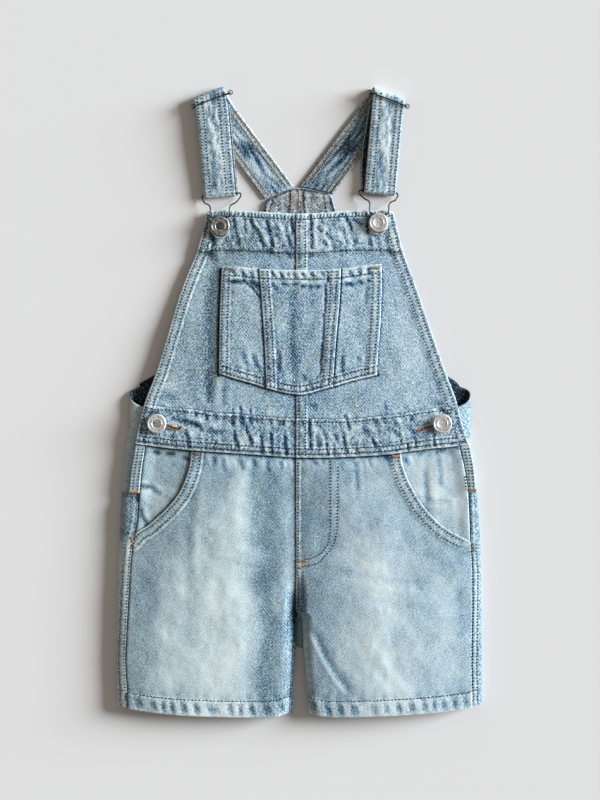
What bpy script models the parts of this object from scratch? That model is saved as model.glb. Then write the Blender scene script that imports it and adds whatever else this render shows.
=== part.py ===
"""Kids' dungaree shorts in light denim, laid out flat with the front up.

+X is to the viewer's right, +Y towards the straps and +Z up. All sizes are in millimetres and are
turned to metres where a mesh is made. The drawing counts y from the lowest point of the hems; each
finished piece is moved by MIDDLE, so that the origin is on the floor under the middle of the whole.
"Left" and "right" are the viewer's.
"""
import math

import bmesh
import bpy
from mathutils import Matrix, Vector

MM = 0.001
MIDDLE = Vector((-0.7, 276.3, 0.0))      # middle of the drawing's box

# ---- driving dimensions ------------------------------------------------------------------------
DENIM = 1.2              # one layer of denim
DOUBLED = 2.4            # waistband, hems and the bib's top band
GAP = 0.3                # between any two pieces
HEM_DEPTH = 14.0         # height of the turned-up hem
BIB_BAND_DEPTH = 34.0    # height of the doubled band along the bib's top

CENTRE_SEAM = -4.2       # the seam runs a little left of the middle, as the garment lies
FRONT_CROTCH = 92.0      # where the front centre seam ends
BACK_CROTCH = 60.0       # where the back's fork ends, lying on the floor between the legs
SIDE_OPENING = 196.0     # the side placket opens from here up
UNDERLAP_END = 112.0     # how far the back reaches in under the waistband, from the middle
SIDE_ROLL = 9.0          # width of the back's roll round the outer edge

SEAM_HEIGHT = 9.5        # upper face of the cloth at the side seams
CENTRE_HEIGHT = 10.5     # upper face along the centre seam, above the crotch
CROTCH_HEIGHT = 2.9      # upper face where the front's fork is pressed down
INNER_HEIGHT = 6.3       # upper face at the inner leg edges
LEG_CROWN = 3.2          # extra height in the middle of a leg
INNER_ROLL = 10.0        # width of the roll at the inner leg edges
BIB_TOP_HEIGHT = 5.0     # upper face of a single layer at the bib's top
BIB_EDGE_DROP = 1.6      # the bib's sides hang this much lower than its middle

STRAP_WIDTH = 27.5
STRAP_THICK = 1.8
STRAP_BACK_HEIGHT = 0.9      # middle of the strap where it lies on the floor
STRAP_FRONT_HEIGHT = 7.0     # middle of the front layer at the slider
STRAP_REAR_HEIGHT = 3.0      # middle of the returning layer at the slider
STRAP_LOW_FRONT = 5.2        # middle of the front layer at the buckle
STRAP_LOW_REAR = 1.2         # middle of the returning layer at the buckle
REAR_SHIFT = 2.4             # the returning layer lies this much further in
SLIDER_WIRE = 0.8            # radius
SLIDER_DOWN = 6.8            # the slider's middle, down the front from the fold
SLIDER_REACH = 3.5           # how far its ends stand out beside the strap
BUCKLE_WIRE = 0.8            # radius

BUTTON_RADIUS = 8.5
SHANK_RADIUS = 2.6
SHANK_HEIGHT = 1.3
BUCKLED_SHANK_HEIGHT = 2.4
CAP_THICK = 2.4
CAP_RIM = 1.0                # width of the raised rim round a button's face
CAP_RECESS = 0.7             # how far the face is sunk inside the rim
BUTTON_STANDOFF = 0.45       # clear space under a button's shank

INNER_CURL = 7.0             # width of the back's curl up the inner leg edge
INNER_RISE = 4.6             # how high that curl stands at the hem
FACING_WALL = 1.0            # the facing inside the back's top
FACING_INSET = 0.6           # how far it stays inside the back's free edge

# ---- tables ------------------------------------------------------------------------------------
# outer contour and side seam of the shorts at height y
BODY = (("y", "left_outer", "left_seam", "right_seam", "right_outer"),
        (0, -159.6, -150.6, 150.2, 158.2),
        (24, -160.6, -151.4, 150.1, 159.2),
        (50, -160.5, -152.7, 149.6, 158.9),
        (75, -160.3, -151.6, 149.9, 158.8),
        (102, -159.9, -150.1, 150.3, 158.4),
        (125, -159.3, -148.8, 150.2, 158.1),
        (142, -158.9, -147.4, 149.4, 157.9),
        (155, -158.5, -145.7, 148.5, 157.3),
        (172, -158.1, -142.5, 147.9, 156.5),
        (196, -156.8, -140.8, 146.8, 154.7),
        (218, -154.8, -138.6, 143.5, 151.9),
        (239, -152.4, -136.0, 139.6, 149.6),
        (262, -149.8, -139.7, 140.0, 149.2),
        (290, -148.8, -137.0, 137.4, 147.2))

# outer edge of the placket strip
PLACKET = (("y", "left", "right"),
           (196, -150.5, 153.8),
           (212, -149.2, 152.6),
           (227, -146.7, 150.4),
           (240, -144.6, 147.8))

# inner edges of the two legs
INNER = (("y", "left", "right"),
         (0, -10.8, 7.8),
         (24, -9.6, 5.9),
         (50, -7.9, 3.2),
         (75, -6.4, 1.3),
         (86, -6.0, 0.6),
         (92, CENTRE_SEAM - 0.2, CENTRE_SEAM + 0.2))

# the curved pocket opening, the edge of the front leg
SCOOP = (("y", "left", "right"),
         (154, -150.0, 148.4),
         (157, -147.0, 142.4),
         (162, -143.2, 132.4),
         (168, -133.3, 123.5),
         (175, -125.2, 115.9),
         (184, -115.8, 107.9),
         (196, -106.3, 100.3),
         (210, -99.9, 93.2),
         (224, -96.3, 88.7),
         (236, -95.4, 87.4))

# lower and upper edge of the waistband, and the hem, across the width
WAIST = (("x", "lower", "upper"),
         (-146, 239.0, 274.4),
         (-131, 237.0, 272.6),
         (-114, 234.9, 270.6),
         (-96, 233.2, 269.3),
         (-79, 231.9, 266.6),
         (-53, 230.1, 264.8),
         (-27, 228.4, 262.5),
         (-4, 226.8, 261.2),
         (17, 226.6, 260.8),
         (43, 227.5, 260.8),
         (61, 228.4, 262.5),
         (78, 229.7, 264.2),
         (96, 232.3, 266.9),
         (113, 234.5, 269.5),
         (131, 236.2, 271.6),
         (148, 238.4, 273.6))

HEM = (("x", "y"),
       (-160, 10.8), (-149, 7.0), (-132, 4.4), (-105, 1.8), (-70, 0.4), (-35, 0.0), (-22, 0.4), (-11, 3.5),
       (8, 3.5), (17, 0.9), (26, 0.0), (52, 0.4), (87, 1.8), (122, 4.4), (144, 7.0), (158, 11.4))

# ends of the waistband and, above it, the slanting sides of the bib
BIB_SIDE = (("y", "left", "right"),
            (239, -144.6, 147.6),
            (256, -141.0, 141.4),
            (273, -136.9, 137.4),
            (303, -125.8, 126.6),
            (341, -114.3, 113.4),
            (365, -107.2, 105.3),
            (387, -99.3, 97.5),
            (408, -90.7, 89.9),
            (426, -85.8, 85.3),
            (443, -81.6, 80.9))

BIB_TOP = (("x", "y"),
           (-82, 441.6), (-78, 443.4), (-62, 443.6), (-44, 442.8), (-27, 441.9), (-3, 440.6),
           (17, 441.4), (35, 442.8), (52, 443.6), (77, 443.6), (81, 442.0))

# the patch pocket: its two edges and the two seams between its strips, then its top and bottom
POCKET = (("y", "left_edge", "left_seam", "right_seam", "right_edge"),
          (282, -71.4, -30.0, 27.8, 65.8),
          (317, -71.3, -31.2, 30.2, 67.8),
          (338, -71.1, -32.4, 31.9, 69.6),
          (365, -70.4, -34.3, 34.3, 70.9),
          (382, -69.6, -35.7, 35.1, 71.4),
          (397, -68.8, -37.0, 35.5, 70.9))

POCKET_ENDS = (("x", "lower", "upper"),
               (-71, 300.6, 393.8), (-57, 295.8, 394.2), (-44, 292.2, 392.9), (-30, 287.9, 391.7),
               (-9, 282.8, 391.2), (0, 282.0, 391.1), (8, 283.4, 391.1), (17, 286.1, 391.1),
               (30, 289.6, 391.7), (48, 294.9, 394.0), (66.5, 299.2, 396.4), (71, 300.5, 396.4))

# the back's free edge on the floor, from the side up round the armhole to the top of the yoke
BACK_EDGE = (("y", "left", "right"),
             (282, -148.6, 147.0),
             (288, -145.6, 142.0),
             (295, -136.1, 134.5),
             (299, -128.5, 128.0),
             (310, -112.0, 112.0),
             (330, -92.0, 93.0),
             (360, -70.0, 71.0),
             (390, -54.0, 54.0),
             (420, -41.0, 40.0),
             (443, -32.8, 31.1),
             (453, -30.3, 28.4),
             (456, -24.4, 27.2),
             (459, -18.0, 24.5),
             (462, -11.0, 10.0),
             (463.6, -6.6, 1.5))

# the back's rim on the top side, by x from the middle, and then down its roll to the floor, by the
# share of the roll
SIDE_RIM = (("x", "y"), (100, 268.0), (128, 270.5), (140, 274.0))
ROLL_RIM = (("share", "y"), (0.0, 274.0), (0.25, 278.0), (0.5, 284.5), (0.75, 289.0), (1.0, 291.5))

# plan places of the straps: end at the yoke, fold of the back part, fold of the front part, buckle end
STRAPS = (("side", "yoke", "back_fold", "front_fold", "buckle_end", "end_angle"),
          ("left", (-18.7, 459.3), (-81.5, 543.2), (-77.8, 543.2), (-70.4, 454.8), 23.9),
          ("right", (13.9, 461.7), (75.4, 543.5), (77.3, 543.5), (69.6, 457.2), -13.0))

# a buckle's wire, from its bar down one side to the bottom of the loop round the button's shank:
# distance up the strap from the button, distance out from its axis, height above the bib's face
BUCKLE = (("along", "across", "lift"),
          (25.6, 0.0, "bar"),
          (25.6, 14.9, "bar"),
          (25.2, 17.4, "bar"),
          (21.6, 17.2, "bar"),
          (20.2, 14.0, "shoulder"),
          (18.6, 9.4, "shoulder"),
          (14.6, 8.4, "face"),
          (10.4, 8.8, "face"),
          (6.6, 8.3, "face"),
          (-6.2, 8.3, "face"),
          (-10.8, 4.6, "face"),
          (-10.8, 0.0, "face"))

BUTTONS = (("name", "x", "y"),
           ("bib_button_left", -70.4, 429.6),
           ("bib_button_right", 68.2, 432.7),
           ("side_button_left", -125.6, 256.8),
           ("side_button_right", 123.8, 256.8))

# ---- small helpers -----------------------------------------------------------------------------


def look_up(table, column, key):
    """Value of a table's column at the key, joined by smooth curves and held level past the ends."""
    place = table[0].index(column)
    rows = table[1:]
    keys = [row[0] for row in rows]
    values = [row[place] for row in rows]
    if key <= keys[0]:
        return values[0]
    if key >= keys[-1]:
        return values[-1]
    i = max(k for k in range(len(keys) - 1) if keys[k] <= key)
    width = keys[i + 1] - keys[i]
    slopes = [(values[k + 1] - values[k]) / (keys[k + 1] - keys[k]) for k in range(len(keys) - 1)]
    start = tangent(slopes, i)
    end = tangent(slopes, i + 1)
    t = (key - keys[i]) / width
    return ((1 + 2 * t) * (1 - t) ** 2 * values[i] + t * t * (3 - 2 * t) * values[i + 1]
            + width * t * (1 - t) ** 2 * start - width * t * t * (1 - t) * end)


def tangent(slopes, i):
    """Slope at a table's row i: none where the values turn, else the harmonic mean of both sides."""
    before = slopes[max(i - 1, 0)]
    after = slopes[min(i, len(slopes) - 1)]
    if before * after <= 0:
        return 0.0
    return 2 * before * after / (before + after)


def blend(low, high, value):
    """0 below low, 1 above high, and a smooth step between."""
    t = min(max((value - low) / (high - low), 0.0), 1.0)
    return t * t * (3 - 2 * t)


def mix(a, b, t):
    return a + (b - a) * t


# ---- heights of the cloth ----------------------------------------------------------------------


def side_of(x):
    return "left" if x < CENTRE_SEAM else "right"


def side_seam(side, y):
    return look_up(BODY, side + "_seam", y)


def inner_edge(side, y):
    if y >= FRONT_CROTCH:
        return CENTRE_SEAM
    return look_up(INNER, side, y)


def shorts_height(x, y):
    """Upper face of a single layer of the front below the waistband's top."""
    side = side_of(x)
    seam = side_seam(side, min(y, 239.0))
    inner = inner_edge(side, y)
    across = min(max((x - seam) / (inner - seam), 0.0), 1.0)
    in_middle = mix(CROTCH_HEIGHT, CENTRE_HEIGHT, blend(FRONT_CROTCH, 128.0, y))
    at_leg = mix(INNER_HEIGHT, CROTCH_HEIGHT, blend(40.0, 64.0, y))
    edge = in_middle if y > FRONT_CROTCH else at_leg
    crown = LEG_CROWN * mix(1.0, 0.35, blend(150.0, 235.0, y))
    body = mix(SEAM_HEIGHT, CENTRE_HEIGHT, across) + crown * 4 * across * (1 - across)
    roll = min(abs(x - inner) / INNER_ROLL, 1.0)
    round_edge = math.sqrt(max(1 - (1 - roll) ** 2, 0.0))
    return edge + (body - edge) * mix(round_edge, blend(0.0, 1.0, roll), blend(82.0, FRONT_CROTCH, y))


def bib_height(x, y):
    """Upper face of a single layer of the bib."""
    middle = mix(CENTRE_HEIGHT, BIB_TOP_HEIGHT, min((y - 262.0) / 181.0, 1.0))
    half = look_up(BIB_SIDE, "right", y)
    return middle - BIB_EDGE_DROP * blend(0.2, 1.0, abs(x) / half)


def front_height(x, y):
    """Upper face of a single layer of the front, anywhere."""
    return mix(shorts_height(x, min(y, 262.0)), bib_height(x, max(y, 262.0)), blend(240.0, 280.0, y))


# ---- cloth panels ------------------------------------------------------------------------------


def material(name, colour, roughness, metallic):
    made = bpy.data.materials.new(name)
    made.use_nodes = True
    shader = made.node_tree.nodes["Principled BSDF"]
    shader.inputs["Base Color"].default_value = (*colour, 1.0)
    shader.inputs["Roughness"].default_value = roughness
    shader.inputs["Metallic"].default_value = metallic
    return made


def link(name, mesh, colour, roughness, metallic):
    """An object of the finished mesh or curve, moved so that the origin is under its middle."""
    mesh.transform(Matrix.Translation(-MIDDLE * MM))
    made = bpy.data.objects.new(name, mesh)
    mesh.materials.append(material(name, colour, roughness, metallic))
    bpy.context.scene.collection.objects.link(made)
    return made


def cloth(name, rows, wall, colour=(0.42, 0.56, 0.66), flipped=False, cut_row=None, cut_columns=0):
    """A closed wall of cloth on a grid of points. wall(x, y) is its thickness, and it grows to the
    side that the grid's normals point to, or the other way with flipped. Level edges grow straight
    up or down, so that the gap at a seam stays even. From cut_row on, the grid has no cloth in its
    first cut_columns columns."""
    across = len(rows[0])
    bm = bmesh.new()
    bmesh.ops.create_grid(bm, x_segments=across - 1, y_segments=len(rows) - 1, size=1.0)
    ordered = sorted(bm.verts, key=lambda v: (round(v.co.y, 5), round(v.co.x, 5)))
    places = {}
    for place, vert in enumerate(ordered):
        places[vert] = (place // across, place % across)
        vert.co = Vector(rows[place // across][place % across]) * MM
    if cut_row is not None:
        outside = [face for face in bm.faces if min(places[v][0] for v in face.verts) >= cut_row
                   and min(places[v][1] for v in face.verts) < cut_columns]
        bmesh.ops.delete(bm, geom=outside, context="FACES")
    bm.normal_update()
    if flipped:
        bmesh.ops.reverse_faces(bm, faces=bm.faces[:])
        bm.normal_update()
    moves = {}
    for vert in bm.verts:
        direction = vert.normal
        if vert.is_boundary and abs(direction.z) > 0.75:
            direction = Vector((0, 0, math.copysign(1.0, direction.z)))
        moves[tuple(vert.co)] = direction * wall(vert.co.x / MM, vert.co.y / MM) * MM
    grown = bmesh.ops.extrude_face_region(bm, geom=bm.faces[:])
    for item in grown["geom"]:
        if isinstance(item, bmesh.types.BMVert):
            item.co = item.co + moves[tuple(item.co)]
    bmesh.ops.recalc_face_normals(bm, faces=bm.faces[:])
    mesh = bpy.data.meshes.new(name)
    bm.to_mesh(mesh)
    bm.free()
    return link(name, mesh, colour, 0.85, 0.0)


def panel_rows(left, right, lower, upper, levels, columns, surface):
    """Points of a panel between the edges x = left(y) and right(y), and y = lower(x) and upper(x).
    levels and columns run from 0 to 1, and surface(x, y) gives the height."""
    bottom = lower(mix(left(lower(0)), right(lower(0)), 0.5))
    top = upper(mix(left(upper(0)), right(upper(0)), 0.5))
    rows = []
    for level in levels:
        y_plain = mix(bottom, top, level)
        row = []
        for column in columns:
            x = mix(left(y_plain), right(y_plain), column)
            y = (y_plain + (lower(x) - bottom) * (1 - level) ** 3 + (upper(x) - top) * level ** 3)
            x = mix(left(y), right(y), column)
            row.append((x, y, surface(x, y)))
        rows.append(row)
    return rows


def single(x, y):
    return DENIM


def evenly(count):
    return [i / count for i in range(count + 1)]


FRONT_COLUMNS = [0, 0.05] + evenly(10)[1:]


# ---- the pieces --------------------------------------------------------------------------------


def front_leg(side):
    """From the hem to the waistband. The side seam gives way to the curved pocket opening."""
    sign = -1 if side == "left" else 1

    def outer(y):
        seam = side_seam(side, y)
        if y < 154.0:
            return seam
        scoop = look_up(SCOOP, side, y)
        return max(seam, scoop) if side == "left" else min(seam, scoop)

    def inner(y):
        return inner_edge(side, y) + sign * GAP / 2

    def wall(x, y):
        return DOUBLED if y < hem_line(x) - 0.4 else DENIM

    def hem_line(x):
        return look_up(HEM, "y", x) + HEM_DEPTH

    heights = (0, 7, HEM_DEPTH - 0.6, HEM_DEPTH + 0.4, 30, 45, 58, 70, 80, 88, 93, 100, 110, 120, 132,
               145, 154, 157, 160, 164, 169, 175, 184, 195, 208, 220)
    top = look_up(WAIST, "lower", sign * 60)
    levels = [height / top for height in heights] + [1.0]
    columns = (0, 0.05, 0.16, 0.3, 0.45, 0.6, 0.75, 0.87, 0.93, 0.965, 0.985, 1)
    rows = panel_rows(outer, inner, lambda x: look_up(HEM, "y", x), lambda x: look_up(WAIST, "lower", x),
                      levels, columns, lambda x, y: front_height(x, y) - DENIM)
    return cloth("front_leg_" + side, rows, wall, flipped=side == "right")


def waistband(side):
    sign = -1 if side == "left" else 1
    rows = panel_rows(lambda y: look_up(BIB_SIDE, side, y), lambda y: CENTRE_SEAM + sign * GAP / 2,
                      lambda x: look_up(WAIST, "lower", x) + GAP, lambda x: look_up(WAIST, "upper", x),
                      evenly(4), FRONT_COLUMNS, lambda x, y: front_height(x, y) - DENIM)
    return cloth("waistband_" + side, rows, lambda x, y: DOUBLED, (0.33, 0.46, 0.56), side == "right")


def front_bib(side):
    """From the waistband up, with its top band doubled."""
    sign = -1 if side == "left" else 1

    def wall(x, y):
        return DOUBLED if y > look_up(BIB_TOP, "y", x) - BIB_BAND_DEPTH + 0.4 else DENIM

    height = 443.0 - 266.0
    band = 1 - BIB_BAND_DEPTH / height
    levels = [0, 0.1, 0.22, 0.36, 0.5, 0.64, band - 0.02, band + 0.01, band + 0.07, 0.93, 0.975, 1]
    rows = panel_rows(lambda y: look_up(BIB_SIDE, side, y), lambda y: CENTRE_SEAM + sign * GAP / 2,
                      lambda x: look_up(WAIST, "upper", x) + GAP, lambda x: look_up(BIB_TOP, "y", x),
                      levels, FRONT_COLUMNS, lambda x, y: front_height(x, y) - DENIM)
    return cloth("front_bib_" + side, rows, wall, flipped=side == "right")


def bib_pocket(part, left_column, right_column):
    """A strip of the patch pocket, on the bib's face."""
    rows = panel_rows(lambda y: look_up(POCKET, left_column, y) + GAP / 2,
                      lambda y: look_up(POCKET, right_column, y) - GAP / 2,
                      lambda x: look_up(POCKET_ENDS, "lower", x), lambda x: look_up(POCKET_ENDS, "upper", x),
                      evenly(7), evenly(5), lambda x, y: front_height(x, y) + GAP)
    return cloth("bib_pocket_" + part, rows, single, (0.38, 0.52, 0.62))


def pocket_facing(side):
    """The piece that shows inside the pocket opening, and reaches a little way under the front leg."""
    sign = -1 if side == "left" else 1

    def inner(y):
        return look_up(SCOOP, side, y + 10) - sign * 12

    def outer(y):
        return side_seam(side, y) - sign * GAP

    def surface(x, y):
        return front_height(x, y) - DENIM - GAP - DENIM

    lower = 147.0
    rows = panel_rows(outer, inner, lambda x: lower, lambda x: look_up(WAIST, "lower", x) - GAP,
                      evenly(10), evenly(5), surface)
    return cloth("pocket_facing_" + side, rows, single, (0.45, 0.58, 0.66), side == "right")


def side_placket(side):
    """A narrow strip along the edge of the side opening."""
    sign = -1 if side == "left" else 1
    rows = panel_rows(lambda y: look_up(PLACKET, side, y), lambda y: side_seam(side, y) + sign * GAP / 2,
                      lambda x: SIDE_OPENING, lambda x: look_up(WAIST, "lower", x) - GAP,
                      evenly(6), evenly(2), lambda x, y: front_height(x, y) - DENIM)
    return cloth("side_placket_" + side, rows, single, (0.3, 0.42, 0.52), side == "right")


# segments of the back's section: flap on top, roll, floor and curl up the inner leg
FLAP_STEPS = 2
ROLL_STEPS = 6
FLOOR_STEPS = 4
CURL_STEPS = 3
BACK_STEPS = FLAP_STEPS + ROLL_STEPS + FLOOR_STEPS + CURL_STEPS


def back_section(side, y):
    """Outer face of the back at height y: from its edge on the top side, round the outer edge, along
    the floor and up the inner side of the leg."""
    sign = -1 if side == "left" else 1
    outer = look_up(BODY, side + "_outer", y)
    seam = side_seam(side, y)
    under = blend(SIDE_OPENING - 12, SIDE_OPENING - 3, y)
    placket_reach = look_up(PLACKET, side, y) - sign * 5
    edge = seam + sign * (GAP + 0.3)
    if y > SIDE_OPENING:
        edge = placket_reach
    if y > 243.0:
        edge = sign * UNDERLAP_END
    roll_top = outer - sign * SIDE_ROLL
    if (edge - roll_top) * sign > 0:
        roll_top = edge
    flat = []
    for step in range(FLAP_STEPS + 1):
        x = mix(edge, roll_top, step / FLAP_STEPS)
        flat.append((x, y, front_height(x, y) - (DENIM + 2 * GAP) * under))
    top = front_height(roll_top, y) - (DENIM + 2 * GAP) * under
    reach = abs(outer - roll_top)
    roll = []
    for step in range(1, ROLL_STEPS + 1):
        turn = math.pi * step / ROLL_STEPS
        roll.append((roll_top + sign * reach * math.sin(turn), y, top * (1 + math.cos(turn)) / 2))
    return flat, roll


def back(side):
    """One piece from the top of the yoke to the hem. It lies on the floor, rolls up round the outer
    edge to the side seam, and at the waist reaches in under the waistband to carry its button."""
    sign = -1 if side == "left" else 1
    centre = CENTRE_SEAM + sign * GAP / 2
    rim_bottom = look_up(SIDE_RIM, "y", UNDERLAP_END)
    low = (0, 7, HEM_DEPTH - 0.6, HEM_DEPTH + 0.4, 30, 44, 54, BACK_CROTCH, BACK_CROTCH + 2, 90, 115, 140,
           158, 176, 194, 204, 218, 232, 242.6, 245, 256, rim_bottom)
    high = (295, 299, 310, 330, 360, 390, 420, 443, 453, 456, 459, 462, 463.6)
    rows = []
    for y in low:
        flat, roll = back_section(side, y)
        row = flat + roll
        start = row[-1][0]
        in_leg = y < BACK_CROTCH + 1
        last = look_up(INNER, side, y) + sign * (INNER_CURL + 2 * GAP) if in_leg else centre
        steps = FLOOR_STEPS if in_leg else FLOOR_STEPS + CURL_STEPS
        row += [(mix(start, last, step / steps), y, 0.0) for step in range(1, steps + 1)]
        if in_leg:
            rise = INNER_RISE * (1 - blend(36.0, BACK_CROTCH - 2, y))
            for step in range(1, CURL_STEPS + 1):
                turn = math.pi / 2 * step / CURL_STEPS
                row.append((last - sign * INNER_CURL * math.sin(turn), y, rise * (1 - math.cos(turn))))
        if y < HEM_DEPTH + 1:
            shift = 1 - y / (HEM_DEPTH + 1)
            row = [(p[0], p[1] + shift * look_up(HEM, "y", p[0]), p[2]) for p in row]
        rows.append(row)
    # the rim: each point of the last section slides up to the free edge
    rim = []
    for place, (x, _, z) in enumerate(rows[-1]):
        y = look_up(ROLL_RIM, "y", (place - FLAP_STEPS) / ROLL_STEPS)
        if place <= FLAP_STEPS:
            y = look_up(SIDE_RIM, "y", abs(x))
        rim.append((x, y, z))
    rows.append(rim)
    # above it only the floor's columns go on, from the free edge to the centre seam
    rolled = FLAP_STEPS + ROLL_STEPS
    for y in high:
        free = look_up(BACK_EDGE, side, y)
        floor = [(mix(free, centre, step / (BACK_STEPS - rolled)), y, 0.0)
                 for step in range(BACK_STEPS - rolled + 1)]
        rows.append(floor[:1] * rolled + floor)

    def wall(x, y):
        return DOUBLED if y < HEM_DEPTH + look_up(HEM, "y", x) * 0.5 else DENIM

    return cloth("back_" + side, rows, wall, (0.36, 0.5, 0.6), side == "right", len(low), rolled)


def back_facing():
    """The facing inside the top of the back, under the bib's top edge."""
    rows = []
    for y in (400, 412, 424, 434, 443, 452, 455.4, 458.4, 461.4, 463.0):
        left = look_up(BACK_EDGE, "left", y + FACING_INSET) + FACING_INSET
        right = look_up(BACK_EDGE, "right", y + FACING_INSET) - FACING_INSET
        rows.append([(mix(left, right, step / 8), y, DENIM + GAP) for step in range(9)])
    return cloth("back_facing", rows, lambda x, y: FACING_WALL, (0.5, 0.55, 0.58))


def strap_frame(row):
    """Directions of a strap: b down its back part, f down its front part, d along the fold, m out."""
    name, yoke, back_fold, front_fold, buckle_end, end_angle = row
    fold = Vector(back_fold)
    down_back = (Vector(yoke) - fold).normalized()
    down_front = (Vector(buckle_end) - Vector(front_fold)).normalized()
    along = (down_back - down_front).normalized()
    if along.x < 0:
        along = -along
    out = Vector((-along.y, along.x))
    return fold, down_back, down_front, along, out


def strap_point(row, s, w):
    """Point of a strap's middle surface, s along it from the fold and w across it."""
    name, yoke, back_fold, front_fold, buckle_end, end_angle = row
    fold, down_back, down_front, along, out = strap_frame(row)
    travel = -down_back
    across = Vector((-travel.y, travel.x))
    flat = travel * s + across * w
    n = flat.dot(out)
    c = flat.dot(along)
    radius = (STRAP_FRONT_HEIGHT - STRAP_BACK_HEIGHT) / 2
    arc = math.pi * radius
    s_front = arc / travel.dot(out)
    natural = s_front * travel.dot(along)
    wanted = (Vector(front_fold) - fold).dot(along)
    c += (wanted - natural) * blend(-20.0, arc + 20.0, n)
    if n <= 0:
        place = fold + along * c + out * n
        return (place.x, place.y, STRAP_BACK_HEIGHT)
    if n < arc:
        turn = n / radius
        place = fold + along * c + out * radius * math.sin(turn)
        return (place.x, place.y, STRAP_BACK_HEIGHT + radius * (1 - math.cos(turn)))
    place = fold + along * c - out * (n - arc)
    # along the front: p is the distance down from the fold, q the distance across
    start = Vector(front_fold)
    side = Vector((-down_front.y, down_front.x))
    p = (place - start).dot(down_front)
    q = (place - start).dot(side)
    low = (STRAP_LOW_FRONT - STRAP_LOW_REAR) / 2
    length = (Vector(buckle_end) - start).length - low - STRAP_THICK / 2
    front = mix(STRAP_FRONT_HEIGHT, STRAP_LOW_FRONT, blend(30.0, length, p))
    if p <= length:
        return (place.x, place.y, front)
    turn = (p - length) / low
    inward = 1 if side.x * (0 - start.x) > 0 else -1
    if turn < math.pi:
        q += inward * REAR_SHIFT * blend(0.0, math.pi, turn)
        at = start + down_front * (length + low * math.sin(turn)) + side * q
        return (at.x, at.y, mix(STRAP_LOW_REAR, STRAP_LOW_FRONT, (1 + math.cos(turn)) / 2))
    q += inward * REAR_SHIFT
    p_back = length - (turn - math.pi) * low
    at = start + down_front * p_back + side * q
    rear = mix(STRAP_LOW_REAR, STRAP_REAR_HEIGHT, 1 - blend(62.0, length, p_back))
    return (at.x, at.y, rear)


def strap(row):
    """A flat ribbon: from the yoke up to the fold, down the front to the buckle, round its bar and
    back up behind to the slider."""
    name, yoke, back_fold, front_fold, buckle_end, end_angle = row
    fold, down_back, down_front, along, out = strap_frame(row)
    travel = -down_back
    across = Vector((-travel.y, travel.x))
    skew_fold = along.dot(travel) / along.dot(across)
    end = Vector((math.cos(math.radians(end_angle)), math.sin(math.radians(end_angle))))
    skew_end = end.dot(travel) / end.dot(across)
    radius = (STRAP_FRONT_HEIGHT - STRAP_BACK_HEIGHT) / 2
    low = (STRAP_LOW_FRONT - STRAP_LOW_REAR) / 2
    arc = math.pi * radius / travel.dot(out)
    back_length = (Vector(yoke) - fold).length
    first = fold + along * (Vector(front_fold) - fold).dot(along)
    skipped = (first - Vector(front_fold)).dot(down_front)
    front_length = (Vector(buckle_end) - Vector(front_fold)).length - low - STRAP_THICK / 2
    bottom = arc + front_length - skipped
    loop = math.pi * low
    stations = [-back_length * (1 - step / 5) for step in range(5)]
    stations += [arc * step / 8 for step in range(9)]
    stations += [arc + front_length * step / 6 for step in range(1, 6)]
    stations += [bottom + loop * step / 8 for step in range(9)]
    stations += [bottom + loop + (front_length - 9.0) * step / 5 for step in range(1, 6)]
    rows = []
    for s in stations:
        skew = mix(skew_end, skew_fold, blend(-back_length, -back_length / 2, s))
        skew = mix(skew, 0.0, blend(arc, bottom, s))
        line = []
        for share in (-0.5, 0.0, 0.5):
            w = share * STRAP_WIDTH
            line.append(Vector(strap_point(row, s + w * skew, w)))
        rows.append(line)
    return ribbon("strap_" + name, rows, STRAP_THICK)


def ribbon(name, rows, thick):
    """A closed strip, half its thickness to each side of the rows' surface."""
    across = len(rows[0])
    bm = bmesh.new()
    bmesh.ops.create_grid(bm, x_segments=across - 1, y_segments=len(rows) - 1, size=1.0)
    ordered = sorted(bm.verts, key=lambda v: (round(v.co.y, 5), round(v.co.x, 5)))
    for place, vert in enumerate(ordered):
        vert.co = rows[place // across][place % across] * MM
    bm.normal_update()
    mesh = bpy.data.meshes.new(name)
    bm.to_mesh(mesh)
    bm.free()
    made = link(name, mesh, (0.4, 0.54, 0.64), 0.85, 0.0)
    solid = made.modifiers.new("thickness", "SOLIDIFY")
    solid.thickness = thick * MM
    solid.offset = 0.0
    return made


def soften(points):
    """Cut the corners of a closed route twice."""
    for _ in range(2):
        cut = []
        for i, point in enumerate(points):
            following = points[(i + 1) % len(points)]
            cut.append(point.lerp(following, 0.25))
            cut.append(point.lerp(following, 0.75))
        points = cut
    return points


def wire(name, points, radius, colour):
    """A closed loop of round wire."""
    route = soften(points)
    curve = bpy.data.curves.new(name, "CURVE")
    curve.dimensions = "3D"
    curve.bevel_depth = radius * MM
    curve.bevel_resolution = 1
    spline = curve.splines.new("POLY")
    spline.points.add(len(route) - 1)
    spline.use_cyclic_u = True
    for target, point in zip(spline.points, route):
        target.co = (point.x * MM, point.y * MM, point.z * MM, 1.0)
    return link(name, curve, colour, 0.3, 1.0)


def slider(row):
    """A wire loop: one bar over the front layer, one under it, joined beside the strap's edges."""
    name = row[0]
    _, _, down_front, along, _ = strap_frame(row)
    centre = Vector(row[3]) + down_front * SLIDER_DOWN
    half = STRAP_WIDTH / 2 + SLIDER_REACH
    low = (STRAP_FRONT_HEIGHT + STRAP_REAR_HEIGHT) / 2
    high = STRAP_FRONT_HEIGHT + STRAP_THICK / 2 + GAP + SLIDER_WIRE + 0.1
    points = []
    for share, height in ((-1.0, high), (-0.5, high), (0.5, high), (1.0, high), (1.1, mix(low, high, 0.5)),
                          (1.0, low), (0.5, low), (-0.5, low), (-1.0, low), (-1.1, mix(low, high, 0.5))):
        at = centre + along * half * share
        points.append(Vector((at.x, at.y, height)))
    return wire("slider_" + name, points, SLIDER_WIRE, (0.25, 0.25, 0.25))


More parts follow.
